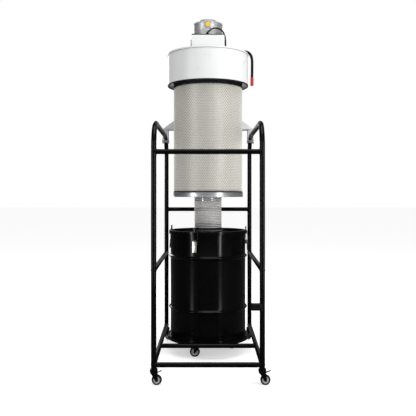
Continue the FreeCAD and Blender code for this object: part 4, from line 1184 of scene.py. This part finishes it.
soft_box("key_right", (3.4, -2.6, 1.7), (0.0, 0.1, 1.3), (0.7, 3.0), 95)
soft_box("fill_left", (-3.2, -2.0, 1.6), (0.0, 0.1, 1.2), (0.35, 2.8), 8)
soft_box("top", (0.3, -0.8, 4.4), (0.0, 0.2, 1.2), (2.6, 2.6), 60)
for name in ("key_right", "fill_left"):
    bpy.data.objects[name].visible_glossy = False
soft_box("behind", (-1.5, 3.6, 2.2), (0.0, 0.2, 1.3), (1.2, 2.4), 30)
STREAK_AWAY = 4.0
for name, degrees, width, watts in (("streak_left", -50, 0.4, 48), ("streak_right", 38, 0.34, 52)):
    a = math.radians(degrees)
    stands_at = (STREAK_AWAY * math.sin(a), -STREAK_AWAY * math.cos(a), 1.3)
    soft_box(name, stands_at, (0.0, 0.2, 1.3), (width, 3.2), watts)
    bpy.data.objects[name].visible_diffuse = False

# %% World
EVEN_LIGHT = 0.5
FRONT_FROM, FRONT_TO = -60, 74
FRONT_LEVEL, SIDE_LEVEL, BACK_LEVEL = 0.38, 0.06, 0.12

world = bpy.data.worlds.new("studio")
world.use_nodes = True
sky = world.node_tree
backdrop = sky.nodes["Background"]
backdrop.inputs["Color"].default_value = (1.0, 1.0, 1.0, 1.0)
sky_place = add(sky, "ShaderNodeTexCoord").outputs["Generated"]
way = add(sky, "ShaderNodeSeparateXYZ", None, {"Vector": sky_place})


def calc(operation, a, b):
    return add(sky, "ShaderNodeMath", {"operation": operation}, {0: a, 1: b}).outputs[0]


azimuth = calc("ARCTAN2", way.outputs["X"], calc("MULTIPLY", way.outputs["Y"], -1.0))


def patch(centre_deg, half_deg, level, soft_deg=6):
    """A patch of light round one azimuth, counted from the camera's side."""
    away = calc("ABSOLUTE", calc("SUBTRACT", azimuth, math.radians(centre_deg)), 0.0)
    fade = add(sky, "ShaderNodeMapRange", {"interpolation_type": "SMOOTHSTEP"},
               {"Value": away, "From Min": math.radians(half_deg),
                "From Max": math.radians(half_deg + soft_deg), "To Min": level, "To Max": 0.0})
    return fade.outputs["Result"]


front = patch((FRONT_FROM + FRONT_TO) / 2, (FRONT_TO - FRONT_FROM) / 2, FRONT_LEVEL - SIDE_LEVEL)
gloss_level = calc("ADD", front, SIDE_LEVEL)
behind = add(sky, "ShaderNodeMapRange", {"interpolation_type": "SMOOTHSTEP"},
             {"Value": way.outputs["Y"], "From Min": 0.55, "From Max": 1.0,
              "To Min": 0.0, "To Max": BACK_LEVEL})
gloss_level = calc("ADD", gloss_level, behind.outputs["Result"])
ray = add(sky, "ShaderNodeLightPath")
for_gloss = add(sky, "ShaderNodeMix", {"data_type": "FLOAT"},
                {0: ray.outputs["Is Glossy Ray"], 2: EVEN_LIGHT, 3: gloss_level})
for_eye = add(sky, "ShaderNodeMix", {"data_type": "FLOAT"},
              {0: ray.outputs["Is Camera Ray"], 2: for_gloss.outputs[0], 3: 1.0})
sky.links.new(for_eye.outputs[0], backdrop.inputs["Strength"])
bpy.context.scene.world = world
bpy.context.scene.view_settings.view_transform = "Standard"
print("lights", len(bpy.data.lights))

# %% [markdown]
# ## Finish

# %% Finish
bpy.context.view_layer.update()
